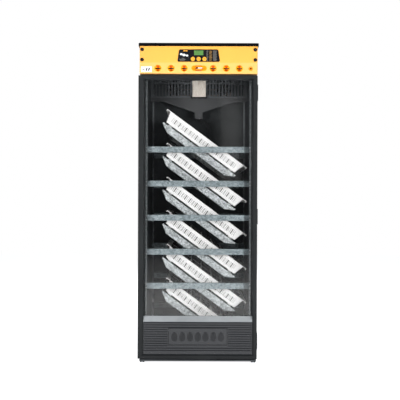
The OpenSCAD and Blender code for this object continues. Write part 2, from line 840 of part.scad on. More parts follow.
// A sheathed rod bent into a U, hung from the ceiling by two straps.
module heater_element() {
    bend_r = 16;
    color([0.45, 0.42, 0.40]) {
        for (side = [-1, 1])
            translate([-160, heater_y, heater_z + side * bend_r]) rotate([0, 90, 0])
                cylinder(h = 320, r = 4);
        translate([160, heater_y, heater_z]) rotate([90, 0, 0]) rotate([0, 0, -90])
            rotate_extrude(angle = 180) translate([bend_r, 0]) circle(4);
        for (x = [-150, 150])
            box([x - 6, heater_y - 1, heater_z - 20], [x + 6, heater_y + 1, ceiling_z]);
    }
}

module water_pan() {
    color([0.15, 0.15, 0.16]) difference() {
        box([-180, -120, floor_top], [180, 120, floor_top + 18]);
        box([-178, -118, floor_top + 2], [178, 118, floor_top + 19]);
    }
}

// ---- Nodes ----

side_panel(-1);  // left_side_panel
side_panel(1);  // right_side_panel
back_panel();
floor_panel();
ceiling_panel();
top_cover();
base_plinth();
glide_cups();
glide_domes();
header_panel();
control_fascia();
fascia_screws();
vent_bezels();
vent_slide_plate();
vent_knob();
display_overlay();
display_screen();
control_board();
round_button(-1);  // button_minus
round_button(0);  // button_ok
round_button(1);  // button_plus
light_button_bezel();
light_button();
power_supply();
power_inlet();
door_frame();
door_window();
door_inner_pane();
door_seal();
hinge_cabinet_leaves();
hinge_door_leaves();
hinge_pins();
rack_uprights();
rack_bars();
rack_rivets();
pivot_pins();
turning_link();
drive_crank();
turning_motor();
drive_panel();
air_grille();
pad_holder();
evaporating_pad();
fan_motors();
fan_impeller(-1);  // fan_impeller_left
fan_impeller(1);  // fan_impeller_right
heater_element();
water_pan();
for (i = [1 : shelf_count]) carrier(i);
for (i = [1 : shelf_count]) egg_trays(i);
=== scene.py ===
"""Looks of a cabinet egg incubator with six tilting shelves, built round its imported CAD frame.

Lengths are in metres. X runs to the right, Y to the back and Z up, with the origin on the floor
under the middle of the top cover.
"""

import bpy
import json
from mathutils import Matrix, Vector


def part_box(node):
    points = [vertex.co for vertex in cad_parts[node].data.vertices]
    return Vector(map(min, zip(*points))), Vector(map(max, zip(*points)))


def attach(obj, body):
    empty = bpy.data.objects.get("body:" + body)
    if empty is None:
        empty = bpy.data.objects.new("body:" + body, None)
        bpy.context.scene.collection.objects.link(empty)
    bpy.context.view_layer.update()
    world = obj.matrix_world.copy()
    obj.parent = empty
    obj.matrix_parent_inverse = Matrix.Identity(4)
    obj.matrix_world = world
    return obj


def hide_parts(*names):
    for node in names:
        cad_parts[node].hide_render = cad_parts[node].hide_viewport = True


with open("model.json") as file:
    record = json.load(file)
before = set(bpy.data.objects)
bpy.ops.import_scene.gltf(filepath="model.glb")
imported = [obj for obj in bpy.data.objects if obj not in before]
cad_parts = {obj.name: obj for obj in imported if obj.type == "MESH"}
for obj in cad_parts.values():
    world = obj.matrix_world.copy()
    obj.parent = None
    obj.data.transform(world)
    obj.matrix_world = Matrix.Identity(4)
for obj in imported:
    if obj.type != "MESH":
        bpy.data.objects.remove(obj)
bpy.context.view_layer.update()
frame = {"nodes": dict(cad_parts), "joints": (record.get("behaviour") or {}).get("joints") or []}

import json
import logging
import math
from collections.abc import Callable
from dataclasses import dataclass
from enum import Enum

import bmesh
import bpy
from mathutils import Matrix, Vector

log = logging.getLogger("incubator")

Colour = tuple[float, float, float]
Point = tuple[float, float, float]
Socket = bpy.types.NodeSocket
Material = bpy.types.Material
MM = 0.001
SAME_POINT = 1e-6  # vertices closer than this are one, in a new piece
SAME_CAD_POINT = 1e-5  # the same for a CAD node's loose triangles
FLAT = math.radians(1.0)  # faces that turn by less than this are one flat face
CAD_EDGE = math.radians(38.0)  # a CAD node's edges past this are rounded
NEW_EDGE = math.radians(40.0)  # a new piece's edges past this are rounded
HARDLY_TURNED = math.radians(2.0)  # always shaded smooth under this
WIDE_TO_NARROW = 12.0  # a face this many times its neighbour's area is shaded apart from it


class Axis(Enum):
    """The three directions of the frame."""

    X = 0
    Y = 1
    Z = 2


class Side(Enum):
    """The left or right half of a symmetrical piece."""

    LEFT = -1
    RIGHT = 1


# ---- Materials ----


class NodeBoard:
    """A new material's node tree, with short ways to add nodes and join them."""

    def __init__(self, name: str) -> None:
        """Starts an empty tree.

        Args:
            name: The material's name.
        """
        self.material = bpy.data.materials.new(name)
        self.material.use_nodes = True
        self.tree = self.material.node_tree
        self.tree.nodes.clear()
        self.output = self.add("ShaderNodeOutputMaterial")
        self.place = self.add("ShaderNodeTexCoord").outputs["Object"]

    def add(self, kind: str, **settings: object) -> bpy.types.Node:
        """Adds one node.

        Args:
            kind: The node's Blender type.
            settings: Properties set on the node itself.

        Returns:
            The new node.
        """
        node = self.tree.nodes.new(kind)
        for key, value in settings.items():
            setattr(node, key, value)
        return node

    def join(self, source: Socket, target: Socket) -> None:
        """Joins an output to an input."""
        self.tree.links.new(source, target)

    def stretched(self, scale: Point) -> Socket:
        """Object coordinates multiplied by a scale along each axis."""
        mapping = self.add("ShaderNodeMapping")
        mapping.inputs["Scale"].default_value = scale
        self.join(self.place, mapping.inputs["Vector"])
        return mapping.outputs["Vector"]

    def noise(self, size: float, detail: float = 3.0, rough: float = 0.55,
              where: Socket | None = None) -> Socket:
        """Cloudy noise.

        Args:
            size: Width of the largest blots.
            detail: Number of finer layers.
            rough: How strong the finer layers are.
            where: Coordinates to read in place of the object's own.

        Returns:
            The noise's value socket.
        """
        node = self.add("ShaderNodeTexNoise")
        node.inputs["Scale"].default_value = 1.0 / size
        node.inputs["Detail"].default_value = detail
        node.inputs["Roughness"].default_value = rough
        self.join(where or self.place, node.inputs["Vector"])
        return node.outputs["Fac"]

    def cells(self, size: float) -> Socket:
        """A grey that differs from one crystal-like cell to the next."""
        node = self.add("ShaderNodeTexVoronoi")
        node.inputs["Scale"].default_value = 1.0 / size
        self.join(self.place, node.inputs["Vector"])
        split = self.add("ShaderNodeSeparateColor")
        self.join(node.outputs["Color"], split.inputs["Color"])
        return split.outputs[0]

    def along(self, axis: Axis) -> Socket:
        """The object coordinate along one axis."""
        split = self.add("ShaderNodeSeparateXYZ")
        self.join(self.place, split.inputs["Vector"])
        return split.outputs[axis.value]

    def sum(self, kind: str, first: Socket | float, second: Socket | float = 0.0,
            third: Socket | float = 0.0) -> Socket:
        """One step of arithmetic.

        Args:
            kind: The Math node's operation.
            first: A socket or a number.
            second: A socket or a number.
            third: A socket or a number, for the operations that take three.

        Returns:
            The result's socket.
        """
        node = self.add("ShaderNodeMath", operation=kind)
        for socket, value in zip(node.inputs, (first, second, third)):
            if isinstance(value, Socket):
                self.join(value, socket)
            else:
                socket.default_value = value
        return node.outputs[0]

    def span(self, source: Socket, low: float, high: float,
             to_low: float = 0.0, to_high: float = 1.0) -> Socket:
        """Maps one range of values onto another and clamps it.

        Args:
            source: The value.
            low: The value that gives to_low.
            high: The value that gives to_high.
            to_low: One end of the result.
            to_high: Its other end.

        Returns:
            The result's socket.
        """
        node = self.add("ShaderNodeMapRange")
        self.join(source, node.inputs["Value"])
        for key, value in (("From Min", low), ("From Max", high), ("To Min", to_low), ("To Max", to_high)):
            node.inputs[key].default_value = value
        return node.outputs["Result"]

    def blend(self, factor: Socket, first: Socket | Colour, second: Socket | Colour) -> Socket:
        """Mixes two colours.

        Args:
            factor: 0 gives the first colour and 1 the second.
            first: A colour or a colour socket.
            second: A colour or a colour socket.

        Returns:
            The mixed colour's socket.
        """
        node = self.add("ShaderNodeMix", data_type="RGBA")
        self.join(factor, node.inputs["Factor"])
        for socket, value in zip((node.inputs[6], node.inputs[7]), (first, second)):
            if isinstance(value, Socket):
                self.join(value, socket)
            else:
                socket.default_value = (*value, 1.0)
        return node.outputs[2]

    def bump(self, height: Socket, depth: float) -> Socket:
        """A normal that follows a height.

        Args:
            height: The height, from 0 to 1.
            depth: The relief's depth.

        Returns:
            The normal's socket.
        """
        node = self.add("ShaderNodeBump")
        node.inputs["Distance"].default_value = depth
        self.join(height, node.inputs["Height"])
        return node.outputs["Normal"]

    def skin(self, colour: Socket | Colour, roughness: Socket | float, normal: Socket | None = None,
             **constants: float) -> bpy.types.Node:
        """Adds the surface shader.

        Args:
            colour: A colour or a colour socket.
            roughness: A number or a socket.
            normal: The bumped normal, if there is one.
            constants: Numbers for other sockets, with spaces in their names written as underscores.

        Returns:
            The shader node.
        """
        shader = self.add("ShaderNodeBsdfPrincipled")
        if isinstance(colour, Socket):
            self.join(colour, shader.inputs["Base Color"])
        else:
            shader.inputs["Base Color"].default_value = (*colour, 1.0)
        if isinstance(roughness, Socket):
            self.join(roughness, shader.inputs["Roughness"])
        else:
            shader.inputs["Roughness"].default_value = roughness
        if normal is not None:
            self.join(normal, shader.inputs["Normal"])
        for key, value in constants.items():
            shader.inputs[key.replace("_", " ")].default_value = value
        return shader

    def close(self, shader: bpy.types.Node) -> Material:
        """Joins the shader to the output and returns the material."""
        self.join(shader.outputs[0], self.output.inputs["Surface"])
        return self.material


@dataclass(frozen=True)
class Finish:
    """One finish of the incubator.

    Attributes:
        name: The material's name.
    """

    name: str

    def make(self) -> Material:
        """Builds the material."""
        raise NotImplementedError(self.name)


@dataclass(frozen=True)
class Moulded(Finish):
    """Moulded plastic, paint or ink with a fine grain, faint blotches and rubbed patches.

    Attributes:
        colour: Its colour.
        worn: Its colour where it is rubbed or dusty.
        roughness: Roughness of a clean patch.
        grain: Width of the surface grain.
        depth: Depth of the surface grain.
        gloss: Strength of the mirror-like part.
        unevenness: How much the roughness differs from patch to patch.
    """

    colour: Colour
    worn: Colour
    roughness: float = 0.4
    grain: float = 0.0012
    depth: float = 0.00008
    gloss: float = 0.5
    unevenness: float = 1.0

    def make(self) -> Material:
        """Builds the material."""
        board = NodeBoard(self.name)
        patches = board.span(board.noise(0.16, 4.0), 0.42, 0.72)
        colour = board.blend(patches, self.colour, self.worn)
        rough = board.span(board.noise(0.05, 5.0), 0.3, 0.7, self.roughness - 0.05 * self.unevenness,
                           self.roughness + 0.07 * self.unevenness)
        normal = board.bump(board.noise(self.grain, 2.0), self.depth)
        return board.close(board.skin(colour, rough, normal, Specular_IOR_Level=self.gloss))


@dataclass(frozen=True)
class FasciaYellow(Finish):
    """Gloss yellow sheet whose foot, below a faint crease, faces up a little; its paler colour there is
    painted light.

    Attributes:
        colour: Colour over the crease.
        foot: Colour under the crease, paler as painted light for the up-facing foot.
        blot: Colour of its faint blotches.
        crease: Height of the crease.
    """

    colour: Colour = (0.91, 0.42, 0.066)
    foot: Colour = (0.93, 0.47, 0.130)
    blot: Colour = (0.86, 0.40, 0.05)
    crease: float = 1.4136

    def make(self) -> Material:
        """Builds the material."""
        board = NodeBoard(self.name)
        # Painted light: the foot under the crease gets the paler colour because it faces up.
        under = board.span(board.along(Axis.Z), self.crease + 0.001, self.crease - 0.001)
        colour = board.blend(under, self.colour, self.foot)
        cloud = board.span(board.noise(0.12, 3.0), 0.35, 0.75, 0.0, 0.25)
        colour = board.blend(cloud, colour, self.blot)
        normal = board.bump(board.noise(0.0016, 2.0), 0.00005)
        return board.close(board.skin(colour, 0.38, normal, Coat_Weight=0.15, Coat_Roughness=0.2))


@dataclass(frozen=True)
class AmberCups(Finish):
    """Clear amber plastic that is deep orange above and below each cup's slot and bright beside it.

    Attributes:
        bright: Colour beside the slots.
        deep: Colour over and under the slots, a painted shade for the dished cup.
        first: Distance of the innermost cups from the middle.
        pitch: Distance between cups.
        height: Height of the cups' axes.
        radius: Radius of a cup.
    """

    bright: Colour = (1.0, 0.42, 0.006)
    deep: Colour = (0.52, 0.075, 0.001)
    first: float = 0.068
    pitch: float = 0.062
    height: float = 1.3875
    radius: float = 0.0164

    def make(self) -> Material:
        """Builds the material."""
        board = NodeBoard(self.name)
        from_first = board.sum("SUBTRACT", board.sum("ABSOLUTE", board.along(Axis.X)), self.first)
        dx = board.sum("WRAP", from_first, self.pitch / 2, -self.pitch / 2)
        dz = board.sum("SUBTRACT", board.along(Axis.Z), self.height)
        dx2, dz2 = (board.sum("MULTIPLY", d, d) for d in (dx, dz))
        reach = board.sum("SQRT", board.sum("ADD", dx2, dz2))
        upright = board.sum("DIVIDE", dz2, board.sum("ADD", board.sum("ADD", dx2, dz2), 1e-9))
        inside = board.span(reach, self.radius * 0.96, self.radius * 0.80)
        # Painted shade: inside the rim, the cup's upper and lower lobes are darkened to deep orange.
        painted_shade_lobes = board.sum("MULTIPLY", board.span(upright, 0.25, 0.75), inside)
        colour = board.blend(painted_shade_lobes, self.bright, self.deep)
        normal = board.bump(board.noise(0.004, 2.0), 0.00006)
        return board.close(board.skin(colour, 0.22, normal, Coat_Weight=0.4, Coat_Roughness=0.08))


@dataclass(frozen=True)
class Galvanised(Finish):
    """Zinc-plated sheet with spangle: patchy crystals, each a little lighter or darker, and painted shade on
    its ends when end is set.

    Attributes:
        dark: Colour of the darkest crystals.
        light: Colour of the lightest crystals.
        crystal: Width of a crystal.
        metal: How metallic the surface is.
        roughness: Its roughness.
        end: Distance from the middle past which the sheet gets painted shade, or 0.
        shift: How far to the left the middle of the unshaded length lies.
        shade_share: Brightness of the painted shade as a share of the darkest crystals'.
    """

    dark: Colour
    light: Colour
    crystal: float = 0.006
    metal: float = 0.45
    roughness: float = 0.42
    end: float = 0.0
    shift: float = 0.0
    shade_share: float = 0.42

    def make(self) -> Material:
        """Builds the material."""
        board = NodeBoard(self.name)
        coarse = board.cells(self.crystal)
        fine = board.cells(self.crystal * 0.37)
        cloud = board.noise(self.crystal * 9.0, 3.0)
        grey = board.sum("ADD", board.sum("MULTIPLY", coarse, 0.45), board.sum("MULTIPLY", fine, 0.3))
        grey = board.sum("ADD", grey, board.sum("MULTIPLY", cloud, 0.35))
        colour = board.blend(board.span(grey, 0.25, 0.9), self.dark, self.light)
        if self.end:
            # Painted shade: past end, both ends of the sheet are darkened, for the shadow that the uprights
            # cast on the bar.
            aside = board.sum("ADD", board.along(Axis.X), self.shift)
            far = board.span(board.sum("ABSOLUTE", aside), self.end - 0.002, self.end + 0.002)
            stain_and_shade = tuple(self.shade_share * c for c in self.dark)
            colour = board.blend(board.sum("MULTIPLY", far, 0.75), colour, stain_and_shade)
        rough = board.span(coarse, 0.0, 1.0, self.roughness - 0.1, self.roughness + 0.12)
        normal = board.bump(fine, 0.00004)
        return board.close(board.skin(colour, rough, normal, Metallic=self.metal))


@dataclass(frozen=True)
class Brushed(Finish):
    """Bright or heat-dulled metal with fine lines along one axis.

    Attributes:
        colour: Its colour.
        lines: The axis that the lines follow.
        roughness: Its roughness.
        tarnish: Brightness of a tarnished patch as a share of the clean colour's.
    """

    colour: Colour
    lines: Axis = Axis.Z
    roughness: float = 0.3
    tarnish: float = 0.62

    def make(self) -> Material:
        """Builds the material."""
        board = NodeBoard(self.name)
        scale = [1.0, 1.0, 1.0]
        scale[self.lines.value] = 0.03
        streaks = board.noise(0.0009, 2.0, where=board.stretched(tuple(scale)))
        patches = board.span(board.noise(0.03, 4.0), 0.35, 0.8)
        colour = board.blend(patches, self.colour, tuple(self.tarnish * c for c in self.colour))
        rough = board.span(streaks, 0.3, 0.7, self.roughness - 0.08, self.roughness + 0.12)
        return board.close(board.skin(colour, rough, board.bump(streaks, 0.00003), Metallic=0.85))


@dataclass(frozen=True)
class ClearSheet(Finish):
    """Clear or frosted sheet: see-through, with a share of tint and a mirror-like film.

    Attributes:
        tint: Colour of the share that isn't see-through.
        cover: That share.
        film: Strength of the mirror-like film.
        roughness: Roughness of the film.
        index: Its index of refraction.
    """

    tint: Colour
    cover: float
    film: float
    roughness: float
    index: float = 1.45

    def make(self) -> Material:
        """Builds the material."""
        board = NodeBoard(self.name)
        smears = board.span(board.noise(0.2, 4.0), 0.35, 0.75, 0.75 * self.cover, min(1.25 * self.cover, 1.0))
        body = board.skin(self.tint, 0.35)
        clear = board.add("ShaderNodeBsdfTransparent")
        film = board.add("ShaderNodeBsdfGlossy")
        film.inputs["Roughness"].default_value = self.roughness
        through = board.add("ShaderNodeMixShader")
        board.join(smears, through.inputs["Fac"])
        board.join(clear.outputs[0], through.inputs[1])
        board.join(body.outputs[0], through.inputs[2])
        grazing = board.add("ShaderNodeFresnel")
        grazing.inputs["IOR"].default_value = self.index
        whole = board.add("ShaderNodeMixShader")
        board.join(board.sum("MULTIPLY", grazing.outputs[0], self.film), whole.inputs["Fac"])
        board.join(through.outputs[0], whole.inputs[1])
        board.join(film.outputs[0], whole.inputs[2])
        return board.close(whole)


@dataclass(frozen=True)
class WickFibre(Finish):
    """Beige wicking fibre with an upright grain and specks.

    Attributes:
        colour: Colour of the fibre.
        stain_and_shade: Colour of its darker streaks.
        speck: Colour of its specks.
    """

    colour: Colour = (0.95, 0.89, 0.81)
    stain_and_shade: Colour = (0.62, 0.52, 0.42)
    speck: Colour = (0.9, 0.86, 0.8)

    def make(self) -> Material:
        """Builds the material."""
        board = NodeBoard(self.name)
        grain = board.noise(0.0035, 4.0, 0.7, board.stretched((1.0, 1.0, 0.08)))
        speck = board.noise(0.0018, 3.0, 0.8)
        colour = board.blend(board.span(grain, 0.42, 0.7), self.colour, self.stain_and_shade)
        colour = board.blend(board.span(speck, 0.6, 0.85, 0.0, 0.6), colour, self.speck)
        normal = board.bump(grain, 0.0008)
        return board.close(board.skin(colour, 0.95, normal, Sheen_Weight=0.3))


@dataclass(frozen=True)
class LitScreen(Finish):
    """A green liquid-crystal screen with a soft backlight.

    Attributes:
        colour: Its colour.
        cloud: Colour of its paler patches.
        glow: Strength of the backlight.
    """

    colour: Colour = (0.085, 0.22, 0.055)
    cloud: Colour = (0.13, 0.29, 0.09)
    glow: float = 0.08

    def make(self) -> Material:
        """Builds the material."""
        board = NodeBoard(self.name)
        cloud = board.span(board.noise(0.012, 2.0), 0.3, 0.7, 0.0, 0.35)
        colour = board.blend(cloud, self.colour, self.cloud)
        shader = board.skin(colour, 0.25, Emission_Strength=self.glow)
        board.join(colour, shader.inputs["Emission Color"])
        return board.close(shader)


@dataclass(frozen=True)
class CircuitGreen(Finish):
    """Green laminate with faint tracks and tinned spots.

    Attributes:
        base: Colour of the laminate.
        track: Colour of the tracks.
        tin: Colour of the tinned spots.
    """

    base: Colour = (0.012, 0.085, 0.03)
    track: Colour = (0.03, 0.17, 0.06)
    tin: Colour = (0.5, 0.5, 0.48)

    def make(self) -> Material:
        """Builds the material."""
        board = NodeBoard(self.name)
        tracks = board.span(board.noise(0.004, 0.0, 0.5, board.stretched((1.0, 1.0, 0.2))), 0.49, 0.52)
        colour = board.blend(tracks, self.base, self.track)
        spots = board.span(board.cells(0.003), 0.86, 0.9)
        colour = board.blend(spots, colour, self.tin)
        return board.close(board.skin(colour, 0.35, board.bump(tracks, 0.00005)))


class Finishes:
    """Every finish of the incubator, each built once and kept by name."""

    BLACK = Moulded("black_moulding", (0.044, 0.050, 0.054), (0.058, 0.064, 0.068), 0.55, gloss=0.2)
    COVER = Moulded("cover_black", (0.0022, 0.0025, 0.0032), (0.004, 0.005, 0.006), 0.55, gloss=0.03)
    LINER = Moulded("chamber_liner", (0.018, 0.021, 0.023), (0.026, 0.029, 0.031), 0.45, 0.002, 0.00006, 0.3)
    DOOR = Moulded("door_moulding", (0.0070, 0.0082, 0.0094), (0.011, 0.013, 0.014), 0.48, 0.0014, gloss=0.20)
    GLOSS = Moulded("gloss_black", (0.008, 0.008, 0.010), (0.014, 0.014, 0.016), 0.2, 0.002, 0.00002)
    YELLOW = FasciaYellow("fascia_yellow")
    KEY_YELLOW = Moulded("key_yellow", (0.78, 0.39, 0.025), (0.66, 0.30, 0.02), 0.3, 0.0018, 0.00004)
    AMBER = AmberCups("amber_cups")
    WHITE = Moulded("tray_white", (0.88, 0.875, 0.87), (0.83, 0.825, 0.81), 0.42, 0.0016, 0.00006)
    # Painted shade: the trays are white inside; this dark grey on their inner long walls stands for the shade
    # behind the slots.
    PAINTED_SHADE_INSIDE = Moulded("tray_inside_painted_shade", (0.06, 0.058, 0.056), (0.045, 0.044, 0.042), 0.6, 0.0016, 0.00006, 0.1)
    LAMP_AMBER = Moulded("lamp_amber", (0.95, 0.29, 0.006), (0.85, 0.22, 0.004), 0.25, 0.003, 0.00004)
    DULL = Brushed("oxide_steel", (0.035, 0.037, 0.040), Axis.Z, 0.5)
    CARRIER = Galvanised("galvanised_sheet", (0.15, 0.17, 0.175), (0.72, 0.76, 0.77), 0.006, 0.35)
    # The bar's darker ends are painted shade.
    BAR = Galvanised("zinc_bar", (0.125, 0.162, 0.175), (0.41, 0.475, 0.50), 0.006, end=0.2313, shift=0.0123)
    UPRIGHT = Galvanised("zinc_upright", (0.11, 0.125, 0.13), (0.27, 0.29, 0.30), 0.006, 0.15, 0.6)
    STEEL = Brushed("bright_steel", (0.62, 0.64, 0.66))
    SHAFT = Brushed("shaft_steel", (0.55, 0.57, 0.59), Axis.Y)
    HEATER = Brushed("heater_sheath", (0.16, 0.13, 0.11), Axis.X, 0.45)
    PANEL = Moulded("grey_paint", (0.030, 0.032, 0.035), (0.045, 0.047, 0.050), 0.5, 0.002)
    GRILLE = Moulded("grille_paint", (0.060, 0.067, 0.073), (0.080, 0.088, 0.094), 0.45)
    RUBBER = Moulded("seal_rubber", (0.008, 0.008, 0.008), (0.016, 0.016, 0.016), 0.7, 0.003, 0.0001, 0.3)
    HINGE = Moulded("hinge_grey", (0.020, 0.021, 0.024), (0.045, 0.046, 0.050), 0.4)
    PANE = ClearSheet("clear_pane", (0.10, 0.11, 0.12), 0.004, 0.50, 0.07)
    STEP = ClearSheet("frosted_step", (0.33, 0.35, 0.365), 0.80, 0.5, 0.18)
    SMOKE = Moulded("smoky_sheet", (0.012, 0.0135, 0.017), (0.015, 0.0165, 0.020), 0.03, 0.05,
                    0.000001, 0.5, 0.1)
    RIB = Moulded("smoky_rib", (0.009, 0.010, 0.012), (0.013, 0.014, 0.017), 0.6, 0.01, 0.00003, 0.1)
    PLATE_INK = Moulded("plate_dark", (0.010, 0.011, 0.013), (0.018, 0.019, 0.022), 0.4, gloss=0.3)
    WICK = WickFibre("wick_fibre")
    SCREEN = LitScreen("screen_green")
    BOARD = CircuitGreen("circuit_laminate")
    PRINT_GREY = Moulded("print_grey", (0.16, 0.15, 0.14), (0.12, 0.11, 0.10), 0.5)
    PRINT_GOLD = Moulded("print_gold", (0.36, 0.19, 0.04), (0.28, 0.14, 0.03), 0.5)
    PRINT_WHITE = Moulded("print_white", (0.75, 0.75, 0.75), (0.66, 0.66, 0.66), 0.5)
    LABEL_GREY = Moulded("label_grey", (0.50, 0.52, 0.56), (0.42, 0.43, 0.46), 0.4)
    PRINT_ORANGE = Moulded("print_orange", (0.85, 0.36, 0.02), (0.75, 0.3, 0.02), 0.5)
    DIGIT = Moulded("screen_digit", (0.03, 0.07, 0.02), (0.04, 0.09, 0.03), 0.4)

    _made: dict[str, Material] = {}

    @classmethod
    def of(cls, finish: Finish) -> Material:
        """The material of a finish, built on its first use."""
        if finish.name not in cls._made:
            cls._made[finish.name] = finish.make()
        return cls._made[finish.name]


# ---- Meshes ----


class Workpiece:
    """A mesh in the making, shaped by bmesh operators, with its finish and the body that carries it."""

    def __init__(self) -> None:
        """Starts with no geometry."""
        self.bm = bmesh.new()

    def slab(self, low: Point, high: Point) -> list[bmesh.types.BMVert]:
        """Adds a block between two corners.

        Args:
            low: Its lowest corner.
            high: Its highest corner.

        Returns:
            The block's vertices.
        """
        verts = bmesh.ops.create_cube(self.bm, size=1.0)["verts"]
        low_v, high_v = Vector(low), Vector(high)
        bmesh.ops.scale(self.bm, vec=high_v - low_v, verts=verts)
        bmesh.ops.translate(self.bm, vec=(low_v + high_v) / 2, verts=verts)
        return verts

    def sheet(self, corners: list[Point]) -> bmesh.types.BMFace:
        """Adds one flat face through the given corners."""
        return self.bm.faces.new([self.bm.verts.new(c) for c in corners])

    def prism(self, corners: list[Point], along: Point) -> None:
        """Adds a face and draws it out into a closed solid.

        Args:
            corners: The face's corners, in order.
            along: The way and distance that it is drawn out.
        """
        face = self.sheet(corners)
        out = bmesh.ops.extrude_face_region(self.bm, geom=[face])
        verts = [g for g in out["geom"] if isinstance(g, bmesh.types.BMVert)]
        bmesh.ops.translate(self.bm, vec=Vector(along), verts=verts)
        if self.bm.faces.get([v for v in face.verts]) is None:
            self.sheet(corners)

    def disc(self, radius: float, thickness: float, sides: int = 28) -> list[bmesh.types.BMVert]:
        """Adds a round disc at the origin that faces the front.

        Args:
            radius: Its radius.
            thickness: Its thickness.
            sides: Number of sides.

        Returns:
            The disc's vertices.
        """
        verts = bmesh.ops.create_cone(self.bm, cap_ends=True, segments=sides, radius1=radius,
                                      radius2=radius, depth=thickness)["verts"]
        turn = Matrix.Rotation(-math.pi / 2, 3, "X")
        bmesh.ops.rotate(self.bm, cent=(0, 0, 0), matrix=turn, verts=verts)
        return verts

    def draw_out(self, way: Point) -> None:
        """Draws every face out into a solid.

        Args:
            way: The way and distance that they are drawn out.
        """
        out = bmesh.ops.extrude_face_region(self.bm, geom=self.bm.faces[:])
        moved = [g for g in out["geom"] if isinstance(g, bmesh.types.BMVert)]
        bmesh.ops.translate(self.bm, vec=way, verts=moved)

    def split(self, axis: Axis, at: float) -> None:
        """Cuts every face along a plane across one axis.

        Args:
            axis: The axis that the plane stands across.
            at: Where on that axis.
        """
        normal = [0.0, 0.0, 0.0]
        normal[axis.value] = 1.0
        point = [at * n for n in normal]
        everything = self.bm.verts[:] + self.bm.edges[:] + self.bm.faces[:]
        bmesh.ops.bisect_plane(self.bm, geom=everything, plane_co=point, plane_no=normal)

    def open_up(self, inside: Callable[[Vector], bool]) -> None:
        """Deletes the faces whose middle passes a test."""
        doomed = [f for f in self.bm.faces if inside(f.calc_center_median())]
        bmesh.ops.delete(self.bm, geom=doomed, context="FACES")

    def thicken(self, thickness: float) -> None:
        """Gives every face a wall behind it."""
        bmesh.ops.solidify(self.bm, geom=self.bm.faces[:], thickness=thickness)

    def ease(self, width: float, segments: int = 2) -> None:
        """Rounds the edges.

        Args:
            width: How wide a rounding is.
            segments: Number of facets in it.
        """
        sharp = [e for e in self.bm.edges
                 if len(e.link_faces) == 2 and e.calc_face_angle(0.0) > NEW_EDGE]
        bmesh.ops.bevel(self.bm, geom=sharp, offset=width, offset_type="OFFSET", affect="EDGES",
                        segments=segments, profile=0.5, material=-1, clamp_overlap=True)

    def move(self, matrix: Matrix) -> None:
        """Turns and moves the whole mesh."""
        bmesh.ops.transform(self.bm, matrix=matrix, verts=self.bm.verts[:])

    @staticmethod
    def flows(edge: bmesh.types.BMEdge, limit: float) -> bool:
        """Whether shading runs smoothly over an edge.

        Args:
            edge: The edge.
            limit: The angle, in radians, past which it doesn't.

        Returns:
            True for a gentle edge, unless it is where a wide flat face meets a narrow rounding.
        """
        if len(edge.link_faces) != 2 or edge.calc_face_angle(0.0) >= limit:
            return False
        small, large = sorted(face.calc_area() for face in edge.link_faces)
        return large < WIDE_TO_NARROW * small or edge.calc_face_angle(0.0) < HARDLY_TURNED

    def finish(self, name: str, finish: Finish, body: str, slot: str, smooth: float = 35.0,
               replaces: tuple[str, ...] = ()) -> bpy.types.Object:
        """Turns the mesh into a piece of the incubator.

        Args:
            name: The piece's name.
            finish: Its finish.
            body: The CAD body that carries it.
            slot: The record's material slot; not used.
            smooth: Edges that turn by less than this, in degrees, are shaded smooth.
            replaces: CAD nodes that it stands for.

        Returns:
            The new object.
        """
        bmesh.ops.remove_doubles(self.bm, verts=self.bm.verts[:], dist=SAME_POINT)
        bmesh.ops.recalc_face_normals(self.bm, faces=self.bm.faces[:])
        mesh = bpy.data.meshes.new(name)
        for face in self.bm.faces:
            face.smooth = True
        for edge in self.bm.edges:
            edge.smooth = self.flows(edge, math.radians(smooth))
        self.bm.to_mesh(mesh)
        self.bm.free()
        mesh.materials.append(Finishes.of(finish))
        piece = bpy.data.objects.new(name, mesh)
        bpy.context.scene.collection.objects.link(piece)
        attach(piece, body)
        if replaces:
            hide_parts(*replaces)
        log.info("%s: %d faces on %s", name, len(mesh.polygons), body)
        return piece


def dress(node: str, finish: Finish, edge: float, segments: int = 2) -> None:
    """Gives a CAD node its finish and slightly rounded edges.

    Args:
        node: The node's name.
        finish: Its finish.
        edge: Radius of its edges, or 0 to leave them sharp.
        segments: Number of facets in an edge.
    """
    part = frame["nodes"][node]
    for held in part.material_slots:
        held.material = Finishes.of(finish)
    if edge:
        weld = part.modifiers.new("Weld", "WELD")
        weld.merge_threshold = SAME_CAD_POINT
        flat = part.modifiers.new("Flat", "DECIMATE")
        flat.decimate_type = "DISSOLVE"
        flat.angle_limit = FLAT
        soft = part.modifiers.new("Edges", "BEVEL")
        soft.width = edge
        soft.segments = segments
        soft.limit_method = "ANGLE"
        soft.angle_limit = CAD_EDGE
        soft.harden_normals = True
    log.info("%s: %s", node, finish.name)


# ---- Sub-assemblies ----


@dataclass
class Cabinet:
    """The insulated shell, its cover, plinth and feet.

    Attributes:
        edge: Radius of the shell's edges.
    """

    edge: float = 0.0012

    def build(self) -> None:
        """Dresses the shell."""
        for node in ("left_side_panel", "right_side_panel", "back_panel"):
            dress(node, Finishes.BLACK, self.edge)
        for node in ("floor_panel", "ceiling_panel"):
            dress(node, Finishes.LINER, self.edge)
        dress("top_cover", Finishes.COVER, self.edge, 3)
        dress("base_plinth", Finishes.BLACK, self.edge)
        dress("glide_cups", Finishes.GLOSS, 0.0008)
        dress("glide_domes", Finishes.STEEL, 0.0008)
        dress("power_inlet", Finishes.GLOSS, 0.0005)
        dress("power_supply", Finishes.STEEL, 0.0008)


